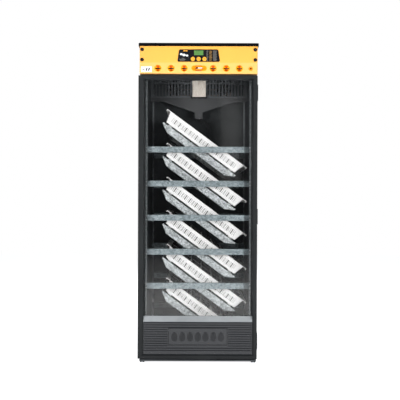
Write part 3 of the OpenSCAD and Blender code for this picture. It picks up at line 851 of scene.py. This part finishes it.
@dataclass
class ControlPanel:
    """The yellow fascia with its vents, screen, keys and printed marks.

    Attributes:
        face: Y of the fascia's front.
        print_y: Y of the black label's front.
        key_y: Y of a key's front.
        key_pitch: Distance between keys.
        key_z: Height of the keys.
        knob_y: Y of the slide knob's front.
        knob_z: Height of the slide knob.
        ink: Half the thickness of a printed mark.
        label: Left, foot, right and head of the white label.
    """

    face: float = -0.303
    print_y: float = -0.3042
    key_y: float = -0.3075
    key_pitch: float = 0.0273
    key_z: float = 1.4307
    knob_y: float = -0.3089
    knob_z: float = 1.3875
    ink: float = 0.0003
    label: tuple[float, float, float, float] = (-0.2715, 1.3685, -0.2205, 1.3955)

    def build(self) -> None:
        """Dresses the CAD nodes and adds the printed marks."""
        dress("header_panel", Finishes.BLACK, 0.0008)
        dress("control_fascia", Finishes.YELLOW, 0.0008)
        dress("fascia_screws", Finishes.GLOSS, 0.0007)
        dress("vent_bezels", Finishes.AMBER, 0.0005)
        dress("vent_slide_plate", Finishes.PANEL, 0.0)
        dress("vent_knob", Finishes.LAMP_AMBER, 0.0012, 3)
        dress("display_overlay", Finishes.GLOSS, 0.0003, 1)
        dress("display_screen", Finishes.SCREEN, 0.0003, 1)
        dress("control_board", Finishes.BOARD, 0.0)
        for key in ("button_minus", "button_ok", "button_plus"):
            dress(key, Finishes.KEY_YELLOW, 0.0008, 3)
        dress("light_button_bezel", Finishes.LAMP_AMBER, 0.0006)
        dress("light_button", Finishes.COVER, 0.0006)
        self.label_marks()
        self.screen_digits()
        self.key_marks()
        self.blank_label()
        self.knob_marks()

    def mark(self, piece: Workpiece, low: tuple[float, float], high: tuple[float, float],
             front: float) -> None:
        """Adds a thin printed bar.

        Args:
            piece: The piece that it goes on.
            low: Its lowest X and Z, in millimetres.
            high: Its highest X and Z, in millimetres.
            front: Y of the surface that carries it.
        """
        (x0, z0), (x1, z1) = low, high
        piece.slab((x0 * MM, front - self.ink, z0 * MM), (x1 * MM, front + self.ink, z1 * MM))

    def label_marks(self) -> None:
        """Rows of short bars beside the screen, an orange strip and a small egg."""
        for name, finish, x0, x1, rows in (
            ("label_rows_inner", Finishes.PRINT_GREY, 37.0, 45.5, 9),
            ("label_rows_middle", Finishes.PRINT_GOLD, 49.5, 63.5, 8),
            ("label_rows_outer", Finishes.PRINT_GREY, 67.5, 86.0, 10),
        ):
            piece = Workpiece()
            for k in range(rows):
                z = 1471.0 - (k + 0.5) * 49.0 / rows
                short = (k * 37 % 5) * 0.9
                self.mark(piece, (x0, z - 1.1), (x1 - short, z + 1.1), self.print_y)
            piece.finish(name, finish, "cabinet", "gloss_black")
        strip = Workpiece()
        for x0, x1 in ((-72.0, -64.5), (-63.0, -53.0)):
            self.mark(strip, (x0, 1466.5), (x1, 1471.5), self.print_y)
        strip.finish("label_strip", Finishes.PRINT_ORANGE, "cabinet", "gloss_black")
        caption = Workpiece()
        for z, x0, x1 in ((1434.0, -80.0, -68.0), (1429.0, -92.0, -62.0), (1424.5, -88.0, -66.0)):
            self.mark(caption, (x0, z - 1.0), (x1, z + 1.0), self.print_y)
        caption.finish("label_caption", Finishes.PRINT_GREY, "cabinet", "gloss_black")
        eggs = Workpiece()
        for x, z, size in ((-82.0, 1453.0, 6.5), (-69.0, 1449.5, 7.5), (-55.0, 1447.0, 6.0)):
            verts = eggs.disc(size * MM, 2 * self.ink)
            bmesh.ops.scale(eggs.bm, vec=(1.0, 1.0, 0.76), verts=verts)
            bmesh.ops.translate(eggs.bm, vec=(x * MM, self.print_y, z * MM), verts=verts)
        eggs.finish("label_eggs", Finishes.PRINT_WHITE, "cabinet", "gloss_black")

    def screen_digits(self) -> None:
        """Two rows of plain digits made of segments."""
        lit = {"3": "abgcd", "7": "abc", "5": "afgcd", "4": "fgbc"}
        piece = Workpiece()
        for text, left, foot, tall in (("375", -15.0, 1461.5, 7.0), ("45", -8.0, 1451.5, 6.0)):
            wide, t, gap = tall * 0.55, 0.75, 3.4
            for k, digit in enumerate(text):
                x = left + k * (wide + gap)
                half = foot + tall / 2
                bars = {"a": (x, foot + tall - t, x + wide, foot + tall), "d": (x, foot, x + wide, foot + t),
                        "g": (x, half - t / 2, x + wide, half + t / 2), "f": (x, half, x + t, foot + tall),
                        "b": (x + wide - t, half, x + wide, foot + tall),
                        "c": (x + wide - t, foot, x + wide, half)}
                for part in lit[digit]:
                    x0, z0, x1, z1 = bars[part]
                    self.mark(piece, (x0, z0), (x1, z1), self.face)
        piece.finish("screen_digits", Finishes.DIGIT, "cabinet", "screen")

    def key_marks(self) -> None:
        """A minus, a tick and a plus on the three keys."""
        for k, body in ((-1, "minus_button"), (0, "ok_button"), (1, "plus_button")):
            piece = Workpiece()
            x = k * self.key_pitch / MM
            z = self.key_z / MM
            if k:
                self.mark(piece, (x - 4.0, z - 0.7), (x + 4.0, z + 0.7), self.key_y)
            if k == 1:
                self.mark(piece, (x - 0.7, z - 4.0), (x + 0.7, z + 4.0), self.key_y)
            if not k:
                for shift, length, lean in ((-2.2, 4.0, -45.0), (1.4, 7.6, 45.0)):
                    verts = piece.slab((-length / 2 * MM, -self.ink, -0.7 * MM),
                                       (length / 2 * MM, self.ink, 0.7 * MM))
                    bmesh.ops.rotate(piece.bm, cent=(0, 0, 0),
                                     matrix=Matrix.Rotation(math.radians(-lean), 3, "Y"), verts=verts)
                    rise = -1.2 if lean < 0 else 0.4
                    bmesh.ops.translate(piece.bm, vec=((x + shift) * MM, self.key_y, (z + rise) * MM),
                                        verts=verts)
            piece.finish(f"{body}_mark", Finishes.PRINT_GREY, body, "yellow_plastic")

    def blank_label(self) -> None:
        """A white label with two plain leaning bars."""
        plate = Workpiece()
        x0, z0, x1, z1 = self.label
        front = self.face - 0.0004
        plate.slab((x0, front, z0), (x1, self.face + 0.0002, z1))
        plate.finish("white_label", Finishes.PRINT_WHITE, "cabinet", "white_plastic")
        bars = Workpiece()
        foot, head, wide, lean, proud = 1375.0, 1388.5, 5.0, 4.0, self.face - 0.0007
        for x in (-249.0, -238.0):
            corners = ((x, foot), (x + wide, foot), (x + wide + lean, head), (x + lean, head))
            bars.prism([(a * MM, proud, b * MM) for a, b in corners], (0, 2 * self.ink, 0))
        self.mark(bars, (-264.0, 1380.5), (-255.0, 1383.0), front)
        bars.finish("label_bars", Finishes.GLOSS, "cabinet", "gloss_black")

    def knob_marks(self) -> None:
        """The slide knob's black grip and its pale pointer."""
        front, middle = self.knob_y, self.knob_z
        grip = Workpiece()
        grip.slab((-0.0130, front - 0.0006, middle - 0.0045), (-0.0035, front + 0.0006, middle + 0.0045))
        grip.ease(0.0005, 2)
        grip.finish("knob_grip", Finishes.GLOSS, "vent_slide", "gloss_black")
        pointer = Workpiece()
        pointer.slab((-0.0030, front - 0.0004, middle - 0.0026), (0.0165, front + 0.0004, middle + 0.0026))
        pointer.ease(0.0002, 1)
        pointer.finish("knob_pointer", Finishes.LABEL_GREY, "vent_slide", "gloss_black")


@dataclass
class Door:
    """The hinged door: frame, clear moulding with its ribbed foot, seal and hinges.

    Attributes:
        window_y: Y of the window sheet's front.
        sheet: Thickness of the moulding.
        foot_y: Y of the ribbed foot's front.
        foot_half: Half the width of the ribbed foot.
        foot_z: Lowest and highest edge of the ribbed foot.
        step_z: Height of the top of the sloped step.
        pane_half: Half the width of the window sheet.
        pane_top: Height of the window sheet's top.
        rib_z: Height of the lowest rib.
        rib_pitch: Distance between ribs.
        rib_count: Number of ribs.
        rib_high: Height of one rib.
        rib_proud: How far a rib stands out.
        border: Width of the plate's border.
        border_proud: How far the border stands out.
        sunk: How deep ribs and border sink into the sheet behind them.
        plate: Half the width, the foot and the head of the framed plate.
        boss: Half the size of an egg-shaped boss.
        boss_pitch: Distance between bosses.
        boss_count: Number of bosses.
        boss_taper: How much narrower a boss is towards its top.
    """

    window_y: float = -0.288
    sheet: float = 0.004
    foot_y: float = -0.303
    foot_half: float = 0.2565
    foot_z: tuple[float, float] = (0.0413, 0.194)
    step_z: float = 0.2195
    pane_half: float = 0.2595
    pane_top: float = 1.3405
    rib_z: float = 0.057
    rib_pitch: float = 0.0109
    rib_count: int = 13
    rib_high: float = 0.0040
    rib_proud: float = 0.0015
    border: float = 0.0045
    border_proud: float = 0.002
    sunk: float = 0.0005
    plate: tuple[float, float, float] = (0.141, 0.082, 0.166)
    boss: Point = (0.0148, 0.0015, 0.0225)
    boss_pitch: float = 0.0365
    boss_count: int = 7
    boss_taper: float = 0.16

    def build(self) -> None:
        """Dresses the door and models its clear moulding."""
        dress("door_frame", Finishes.DOOR, 0.0012, 3)
        dress("door_inner_pane", Finishes.PANE, 0.0)
        dress("door_seal", Finishes.RUBBER, 0.0008)
        for node in ("hinge_cabinet_leaves", "hinge_door_leaves"):
            dress(node, Finishes.HINGE, 0.0004)
        dress("hinge_pins", Finishes.STEEL, 0.0004)
        self.window()
        self.step()
        self.ribbed_foot()
        self.ribs()
        self.framed_plate()
        self.egg_row()

    def window(self) -> None:
        """The flat clear sheet."""
        piece = Workpiece()
        piece.slab((-self.pane_half, self.window_y, self.step_z),
                   (self.pane_half, self.window_y + self.sheet, self.pane_top))
        piece.ease(0.0008, 2)
        piece.finish("window_sheet", Finishes.PANE, "door", "clear_plastic", replaces=("door_window",))

    def step(self) -> None:
        """The sloped step that joins the window to the ribbed foot, narrower at its top."""
        piece = Workpiece()
        low = (self.foot_y, self.foot_z[1])
        high = (self.window_y, self.step_z)
        top_half = self.foot_half - 0.014
        piece.sheet([(-self.foot_half, *low), (self.foot_half, *low), (top_half, *high), (-top_half, *high)])
        for side in Side:
            corner = [(side.value * self.foot_half, *low), (side.value * self.foot_half, high[0], high[1]),
                      (side.value * top_half, *high)]
            piece.sheet(corner if side is Side.RIGHT else corner[::-1])
        bmesh.ops.remove_doubles(piece.bm, verts=piece.bm.verts[:], dist=SAME_POINT)
        bmesh.ops.recalc_face_normals(piece.bm, faces=piece.bm.faces[:])
        piece.thicken(0.003)
        piece.finish("window_step", Finishes.STEP, "door", "clear_plastic")

    def ribbed_foot(self) -> None:
        """The upright sheet behind the ribs, with its turned-in foot."""
        piece = Workpiece()
        z0, z1 = self.foot_z
        front, back, inner, ledge = self.foot_y, self.foot_y + 0.003, self.window_y + self.sheet, z0 + 0.0035
        profile = [(inner, z0), (front, z0), (front, z1), (back, z1), (back, ledge), (inner, ledge)]
        piece.prism([(-self.foot_half, y, z) for y, z in profile], (2 * self.foot_half, 0, 0))
        piece.ease(0.0007, 2)
        piece.finish("ribbed_foot", Finishes.SMOKE, "door", "clear_plastic")

    def ribs(self) -> None:
        """Level ribs, broken where the framed plate stands."""
        piece = Workpiece()
        half, low, high = self.plate
        gap = 0.001
        for k in range(self.rib_count):
            z = self.rib_z + k * self.rib_pitch
            beside = z + self.rib_high > low and z < high
            spans = ([(-self.foot_half, -half - gap), (half + gap, self.foot_half)] if beside
                     else [(-self.foot_half, self.foot_half)])
            for x0, x1 in spans:
                piece.slab((x0 + gap, self.foot_y - self.rib_proud, z),
                           (x1 - gap, self.foot_y + self.sunk, z + self.rib_high))
        piece.ease(0.0007, 2)
        piece.finish("foot_ribs", Finishes.RIB, "door", "clear_plastic")

    def framed_plate(self) -> None:
        """A dark raised border round the plain field between the ribs."""
        piece = Workpiece()
        half, low, high = self.plate
        bar = self.border
        for x0, x1, z0, z1 in ((-half, half, low, low + bar), (-half, half, high - bar, high),
                               (-half, bar - half, low + bar, high - bar),
                               (half - bar, half, low + bar, high - bar)):
            piece.slab((x0, self.foot_y - self.border_proud, z0), (x1, self.foot_y + self.sunk, z1))
        piece.ease(0.0006, 2)
        piece.finish("plate_border", Finishes.PLATE_INK, "door", "clear_plastic")

    def egg_row(self) -> None:
        """A plain row of egg-shaped bosses inside the border."""
        piece = Workpiece()
        middle = (self.plate[1] + self.plate[2]) / 2
        for k in range(self.boss_count):
            verts = bmesh.ops.create_uvsphere(piece.bm, u_segments=24, v_segments=12, radius=1.0)["verts"]
            for v in verts:
                v.co.x *= 1.0 - self.boss_taper * v.co.z
            bmesh.ops.scale(piece.bm, vec=self.boss, verts=verts)
            x = (k - self.boss_count // 2) * self.boss_pitch
            bmesh.ops.translate(piece.bm, vec=(x, self.foot_y - 0.0004, middle), verts=verts)
        piece.finish("plate_bosses", Finishes.PLATE_INK, "door", "clear_plastic")


@dataclass
class Rack:
    """The fixed uprights, cross bars and pivot pins."""

    def build(self) -> None:
        """Dresses the rack."""
        dress("rack_uprights", Finishes.UPRIGHT, 0.0004)
        dress("rack_bars", Finishes.BAR, 0.0005)
        dress("rack_rivets", Finishes.STEEL, 0.0006)
        dress("pivot_pins", Finishes.SHAFT, 0.0005)


@dataclass
class Shelf:
    """One tilting shelf: its galvanised carrier and two slotted egg trays with dividers.

    Attributes:
        number: Which shelf, counted from the top.
        pivot_z: Height of its pivot.
        lean: How far it leans at rest, in degrees.
        trays: Y of each tray's front and back.
        foot_half: Half a tray's length at its floor.
        rim_half: Half a tray's length at its rim.
        lip_half: Half a tray's length over its turned-down lips.
        floor_z: Height of the tray's underside over the pivot.
        rim_z: Height of the rim over the pivot.
        wall: Thickness of a tray's wall.
        lip: How far the rims stand out along the long walls.
        pitch: Distance between rows of eggs.
        slot_z: Lowest and highest end of the wall slots.
        wide_slot: Width of the wide slots.
        fine_slot: Width of the fine slots.
        rim_deep: Height of the rims' edge along the long walls.
        lip_deep: Height of the turned-down lips.
        pad_x: Distance of a tray's pads from its middle.
        pad: Size of a pad.
        floor_slot: Width of the floor's slots.
        floor_edge: Distance of the floor's slots from the long walls.
        divider: Thickness of a divider.
        divider_rise: Height of a divider's foot over the tray's underside.
        carrier_top: Height of the carrier's slats over the pivot.
    """

    number: int
    pivot_z: float
    lean: float = 36.3
    trays: tuple[tuple[float, float], ...] = ((-0.210, -0.008), (0.0, 0.202))
    foot_half: float = 0.207
    rim_half: float = 0.221
    lip_half: float = 0.239
    floor_z: float = 0.017
    rim_z: float = 0.071
    wall: float = 0.0025
    lip: float = 0.003
    pitch: float = 0.063
    slot_z: tuple[float, float] = (0.030, 0.055)
    wide_slot: float = 0.0044
    fine_slot: float = 0.0015
    rim_deep: float = 0.004
    lip_deep: float = 0.008
    pad_x: float = 0.18
    pad: float = 0.02
    floor_slot: float = 0.012
    floor_edge: float = 0.045
    divider: float = 0.002
    divider_rise: float = 0.007
    carrier_top: float = 0.0083

    def build(self) -> None:
        """Dresses the carrier and models the trays."""
        dress(f"carrier_{self.number}", Finishes.CARRIER, 0.0006)
        shell = Workpiece()
        dividers = Workpiece()
        for y0, y1 in self.trays:
            self.tray(shell, y0, y1)
            self.divider_set(dividers, y0, y1)
        self.paint_inside_shade(shell)
        for piece, name in ((shell, "tray_shells"), (dividers, "tray_dividers")):
            piece.move(Matrix.Translation((0, 0, self.pivot_z))
                       @ Matrix.Rotation(math.radians(self.lean), 4, "Y"))
            replaced = (f"egg_trays_{self.number}",) if name == "tray_shells" else ()
            made = piece.finish(f"{name}_{self.number}", Finishes.WHITE, f"shelf_{self.number}",
                                "white_plastic", replaces=replaced)
            # The second slot holds the painted shade for the inner long walls.
            made.data.materials.append(Finishes.of(Finishes.PAINTED_SHADE_INSIDE))

    def paint_inside_shade(self, shell: Workpiece) -> None:
        """Gives the inner faces of the long walls the second material, a dark grey painted shade.

        Args:
            shell: The piece that holds both trays, drawn level.
        """
        bmesh.ops.recalc_face_normals(shell.bm, faces=shell.bm.faces[:])
        for face in shell.bm.faces:
            centre, normal = face.calc_center_median(), face.normal
            y0, y1 = next((t for t in self.trays if t[0] - 0.01 < centre.y < t[1] + 0.01), self.trays[0])
            deep = centre.z < self.rim_z - 0.003
            long_side = abs(normal.y) > 0.9 and normal.y * ((y0 + y1) / 2 - centre.y) > 0
            face.material_index = int(deep and long_side)

    def slots(self) -> list[tuple[float, float]]:
        """Each wall slot's left and right edge, wide ones beside the dividers and fine ones between."""
        found = []
        for k in range(-3, 3):
            middle = (k + 0.5) * self.pitch
            for off in (-0.2, 0.2):
                found.append((middle + off * self.pitch, self.wide_slot / 2))
            for off in (-0.47, -0.335, -0.067, 0.067, 0.335, 0.47):
                found.append((middle + off * self.pitch, self.fine_slot / 2))
        return [(x - half, x + half) for x, half in sorted(found)]

    def tray(self, shell: Workpiece, y0: float, y1: float) -> None:
        """Adds one tray, drawn level with its pivot at the origin.

        Args:
            shell: The piece that it goes in.
            y0: Y of its front.
            y1: Y of its back.
        """
        for y, way in ((y0, 1), (y1, -1)):
            self.long_wall(shell, y, way)
        for side in Side:
            self.end_wall(shell, y0, y1, side)
        self.floor(shell, y0, y1)
        z0, z1 = self.rim_z - self.rim_deep, self.rim_z
        for low, high in ((y0 - self.lip, y0), (y1, y1 + self.lip)):
            shell.slab((-self.rim_half, low, z0), (self.rim_half, high, z1))
        half = self.pad / 2
        for x in (-self.pad_x, self.pad_x):
            for y in (y0 + self.pad, y1 - 2 * self.pad):
                shell.slab((x - half, y, self.carrier_top), (x + half, y + self.pad, self.floor_z))

    def long_wall(self, shell: Workpiece, y: float, way: int) -> None:
        """Adds a slotted long wall.

        Args:
            shell: The piece that it goes in.
            y: Y of its outer face.
            way: 1 if the tray's inside is at higher Y, else -1.
        """
        wall = Workpiece()
        wall.sheet([(-self.foot_half, y, self.floor_z), (self.foot_half, y, self.floor_z),
                    (self.rim_half, y, self.rim_z), (-self.rim_half, y, self.rim_z)])
        slots = self.slots()
        for left, right in slots:
            wall.split(Axis.X, left)
            wall.split(Axis.X, right)
        for z in self.slot_z:
            wall.split(Axis.Z, z)
        low, high = self.slot_z
        wall.open_up(lambda c: low < c.z < high and any(a < c.x < b for a, b in slots))
        wall.draw_out((0, way * self.wall, 0))
        self.absorb(shell, wall)

    def end_wall(self, shell: Workpiece, y0: float, y1: float, side: Side) -> None:
        """Adds a slanted end wall whose lip turns down.

        Args:
            shell: The piece that it goes in.
            y0: Y of its front.
            y1: Y of its back.
            side: Which end of the tray.
        """
        t = self.wall
        outline = [(self.foot_half, self.floor_z), (self.rim_half - 0.001, self.rim_z - t),
                   (self.lip_half - t, self.rim_z - t), (self.lip_half - t, self.rim_z - self.lip_deep),
                   (self.lip_half, self.rim_z - self.lip_deep), (self.lip_half, self.rim_z),
                   (self.rim_half - t, self.rim_z), (self.foot_half - t, self.floor_z)]
        wall = Workpiece()
        wall.prism([(side.value * x, y0, z) for x, z in outline], (0, y1 - y0, 0))
        self.absorb(shell, wall)

    def floor(self, shell: Workpiece, y0: float, y1: float) -> None:
        """Adds the floor with a long slot under each row of eggs.

        Args:
            shell: The piece that it goes in.
            y0: Y of the tray's front.
            y1: Y of its back.
        """
        floor = Workpiece()
        inset, half = 0.001, self.floor_slot / 2
        x0, low, high = self.foot_half - inset, y0 + inset, y1 - inset
        floor.sheet([(x, y, self.floor_z) for x, y in ((-x0, low), (x0, low), (x0, high), (-x0, high))])
        for k in range(-3, 4):
            floor.split(Axis.X, k * self.pitch - half)
            floor.split(Axis.X, k * self.pitch + half)
        front, back = y0 + self.floor_edge, y1 - self.floor_edge
        for y in (front, back):
            floor.split(Axis.Y, y)
        floor.open_up(lambda c: front < c.y < back
                      and abs(c.x - round(c.x / self.pitch) * self.pitch) < half)
        floor.draw_out((0, 0, self.wall))
        self.absorb(shell, floor)

    def divider_set(self, dividers: Workpiece, y0: float, y1: float) -> None:
        """Adds a tray's dividers, each an upright strip hung on the two long rims.

        Args:
            dividers: The piece that they go in.
            y0: Y of the tray's front.
            y1: Y of its back.
        """
        gap, half = 0.0002, self.divider / 2
        rest = self.rim_z + gap
        for k in range(-3, 3):
            x = (k + 0.5) * self.pitch
            dividers.slab((x - half, y0 + self.wall + gap, self.floor_z + self.divider_rise),
                          (x + half, y1 - self.wall - gap, rest))
            dividers.slab((x - half, y0 - self.lip, rest), (x + half, y1 + self.lip, rest + 0.0015))

    @staticmethod
    def absorb(shell: Workpiece, part: Workpiece) -> None:
        """Moves a part's geometry into the shell, with its faces turned outwards.

        Args:
            shell: The piece that it goes in.
            part: The part, which is used up.
        """
        bmesh.ops.recalc_face_normals(part.bm, faces=part.bm.faces[:])
        mesh = bpy.data.meshes.new("part")
        part.bm.to_mesh(mesh)
        part.bm.free()
        shell.bm.from_mesh(mesh)
        bpy.data.meshes.remove(mesh)


@dataclass
class AirAndDrive:
    """The air grille, wick, fans, heater and the turning drive.

    Attributes:
        pleats: Number of upright pleats in the wick.
        pleat_depth: Depth of a pleat.
        pleat_steps: Number of cuts across a pleat.
        rows: Number of cuts up the wick.
        sway: How far the pleats wander as they rise.
    """

    pleats: int = 9
    pleat_depth: float = 0.0012
    pleat_steps: int = 4
    rows: int = 10
    sway: float = 0.8

    def build(self) -> None:
        """Dresses the CAD nodes and models the wick."""
        dress("air_grille", Finishes.GRILLE, 0.0005)
        dress("drive_panel", Finishes.PANEL, 0.0008)
        dress("turning_motor", Finishes.PANEL, 0.001, 3)
        dress("turning_link", Finishes.DULL, 0.0006)
        dress("drive_crank", Finishes.DULL, 0.0006)
        dress("pad_holder", Finishes.GLOSS, 0.0006)
        dress("fan_motors", Finishes.COVER, 0.0008)
        for side in ("left", "right"):
            dress(f"fan_impeller_{side}", Finishes.GLOSS, 0.0003, 1)
        dress("heater_element", Finishes.HEATER, 0.0)
        dress("water_pan", Finishes.BLACK, 0.0008)
        self.wick()

    def wick(self) -> None:
        """A fibrous block with upright pleats and soft corners."""
        low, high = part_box("evaporating_pad")
        piece = Workpiece()
        inset = Vector((0.0006, 0.0006, 0.0006))
        piece.slab(tuple(low + inset), tuple(high - inset))
        piece.ease(0.003, 3)
        columns = self.pleat_steps * self.pleats
        step = (high.x - low.x) / columns
        for k in range(1, columns):
            piece.split(Axis.X, low.x + k * step)
        for k in range(1, self.rows):
            piece.split(Axis.Z, low.z + k * (high.z - low.z) / self.rows)
        middle = (low.y + high.y) / 2
        for v in piece.bm.verts:
            wave = math.sin((v.co.x - low.x) / (high.x - low.x) * self.pleats * 2 * math.pi
                            + self.sway * math.sin(v.co.z * 90.0))
            if v.co.y < middle:
                v.co.y += self.pleat_depth * (1.0 + wave)
        piece.finish("wick_block", Finishes.WICK, "cabinet", "pad_fibre", smooth=60.0,
                     replaces=("evaporating_pad",))


@dataclass
class Studio:
    """The pale floor, the soft lights and the camera.

    Attributes:
        eye: The camera's place.
        lens: Its focal length, in millimetres.
        roll: Its roll, in degrees.
        floor_front: Y of the floor's front edge.
        floor_back: Y of its back edge.
        floor_half: Half its width.
        floor_glow: Strength of its own light.
        fade_from: Y from which it gets dimmer towards the front.
        surround: Brightness of the surround as a light.
        mirrored: Brightness of the surround in a gloss.
    """

    eye: Point = (0.0085, -3.508, 0.7675)
    lens: float = 61.3
    roll: float = -0.2
    floor_front: float = -6.2
    floor_back: float = 6.0
    floor_half: float = 5.0
    floor_glow: float = 0.80
    fade_from: float = -2.2
    surround: float = 0.22
    mirrored: float = 0.03

    def build(self) -> None:
        """Sets the stage."""
        view = bpy.context.scene.view_settings
        view.view_transform = "Standard"
        view.look = "None"
        self.camera()
        self.floor()
        self.sky()
        self.lamp("key_left", (-1.55, -2.7, 1.25), (0.0, -0.2, 1.0), (0.9, 1.6), 52.0)
        self.lamp("key_right", (1.65, -2.6, 1.25), (0.0, -0.2, 1.0), (0.9, 1.6), 52.0)
        for side in Side:
            self.spot(f"pad_{side.name.lower()}", (side.value * 0.8, -3.3, 0.8), (0.0, 0.1, 1.31), 8.0, 85.0)
        self.lamp("strip", (0.33, -4.2, 1.40), (0.33, 0.0, 1.40), (0.20, 0.9), 0.36)
        self.lamp("head", (0.0, 0.1, 3.4), (0.0, 0.0, 0.8), (2.2, 2.2), 22.0)
        self.lamp("rear", (0.6, 3.2, 2.2), (0.0, 0.3, 0.8), (1.8, 1.8), 45.0)

    def camera(self) -> None:
        """Adds the camera, level and square to the door."""
        data = bpy.data.cameras.new("camera")
        data.lens = self.lens
        data.sensor_width = 36.0
        data.clip_start, data.clip_end = 0.05, 60.0
        eye = bpy.data.objects.new("camera", data)
        eye.location = self.eye
        eye.rotation_euler = (math.pi / 2, math.radians(self.roll), 0.0)
        bpy.context.scene.collection.objects.link(eye)
        bpy.context.scene.camera = eye

    def floor(self) -> None:
        """Adds the pale floor."""
        bm = bmesh.new()
        half, front, back = self.floor_half, self.floor_front, self.floor_back
        corners = ((-half, front), (half, front), (half, back), (-half, back))
        bm.faces.new([bm.verts.new((x, y, 0.0)) for x, y in corners])
        mesh = bpy.data.meshes.new("studio_floor")
        bm.to_mesh(mesh)
        bm.free()
        board = NodeBoard("floor_white")
        faint = board.span(board.noise(0.6, 2.0), 0.3, 0.7, 0.0, 0.3)
        colour = board.blend(faint, (0.93, 0.93, 0.93), (0.90, 0.90, 0.90))
        shader = board.skin(colour, 0.9, Emission_Strength=self.floor_glow)
        ahead = board.span(board.along(Axis.Y), self.fade_from, front)
        board.join(board.blend(ahead, (1.0, 1.0, 1.0), (0.30, 0.30, 0.31)), shader.inputs["Emission Color"])
        mesh.materials.append(board.close(shader))
        ground = bpy.data.objects.new("studio_floor", mesh)
        bpy.context.scene.collection.objects.link(ground)

    def sky(self) -> None:
        """White behind everything that the camera sees, and a dimmer surround for light and gloss."""
        world = bpy.data.worlds.new("surround")
        world.use_nodes = True
        bpy.context.scene.world = world
        tree = world.node_tree
        tree.nodes.clear()
        out = tree.nodes.new("ShaderNodeOutputWorld")
        seen = tree.nodes.new("ShaderNodeBackground")
        seen.inputs["Color"].default_value = (1.0, 1.0, 1.0, 1.0)
        around = tree.nodes.new("ShaderNodeBackground")
        around.inputs["Color"].default_value = (0.92, 0.97, 1.0, 1.0)
        path = tree.nodes.new("ShaderNodeLightPath")
        dim = tree.nodes.new("ShaderNodeMapRange")
        dim.inputs["To Min"].default_value = self.surround
        dim.inputs["To Max"].default_value = self.mirrored
        tree.links.new(path.outputs["Is Glossy Ray"], dim.inputs["Value"])
        tree.links.new(dim.outputs["Result"], around.inputs["Strength"])
        mix = tree.nodes.new("ShaderNodeMixShader")
        tree.links.new(path.outputs["Is Camera Ray"], mix.inputs["Fac"])
        tree.links.new(around.outputs[0], mix.inputs[1])
        tree.links.new(seen.outputs[0], mix.inputs[2])
        tree.links.new(mix.outputs[0], out.inputs["Surface"])

    def spot(self, name: str, place: Point, target: Point, cone: float, power: float) -> None:
        """Adds a narrow soft-edged lamp.

        Args:
            name: Its name.
            place: Where it stands.
            target: The point that it faces.
            cone: Width of its beam, in degrees.
            power: Its power in watts.
        """
        data = bpy.data.lights.new(name, "SPOT")
        data.spot_size, data.spot_blend = math.radians(cone), 1.0
        data.shadow_soft_size = 0.12
        data.energy = power
        self.hang(name, data, place, target)

    @staticmethod
    def hang(name: str, data: bpy.types.Light, place: Point, target: Point) -> None:
        """Puts a lamp in the scene, facing a point.

        Args:
            name: Its name.
            data: The lamp.
            place: Where it hangs.
            target: The point that it faces.
        """
        lamp = bpy.data.objects.new(name, data)
        lamp.location = place
        lamp.rotation_euler = (Vector(target) - Vector(place)).to_track_quat("-Z", "Y").to_euler()
        bpy.context.scene.collection.objects.link(lamp)

    def lamp(self, name: str, place: Point, target: Point, size: tuple[float, float],
             power: float) -> None:
        """Adds a soft rectangular lamp.

        Args:
            name: Its name.
            place: Where it hangs.
            target: The point that it faces.
            size: Its width and height.
            power: Its power in watts.
        """
        data = bpy.data.lights.new(name, "AREA")
        data.shape = "RECTANGLE"
        data.size, data.size_y = size
        data.energy = power
        self.hang(name, data, place, target)


def shelves() -> list[Shelf]:
    """One shelf for each tilt joint, at that joint's height."""
    pivots = {j["name"]: j["pos_m"][2] for j in frame["joints"] if j["name"].startswith("shelf_tilt_")}
    return [Shelf(int(name.rsplit("_", 1)[1]), z) for name, z in sorted(pivots.items())]


def main() -> None:
    """Builds the whole incubator and its studio."""
    logging.basicConfig(level=logging.INFO, format="%(name)s: %(message)s")
    for assembly in (Studio(), Cabinet(), ControlPanel(), Door(), Rack(), *shelves(), AirAndDrive()):
        assembly.build()
        log.info("%s done", type(assembly).__name__)


if __name__ == "__main__":
    main()
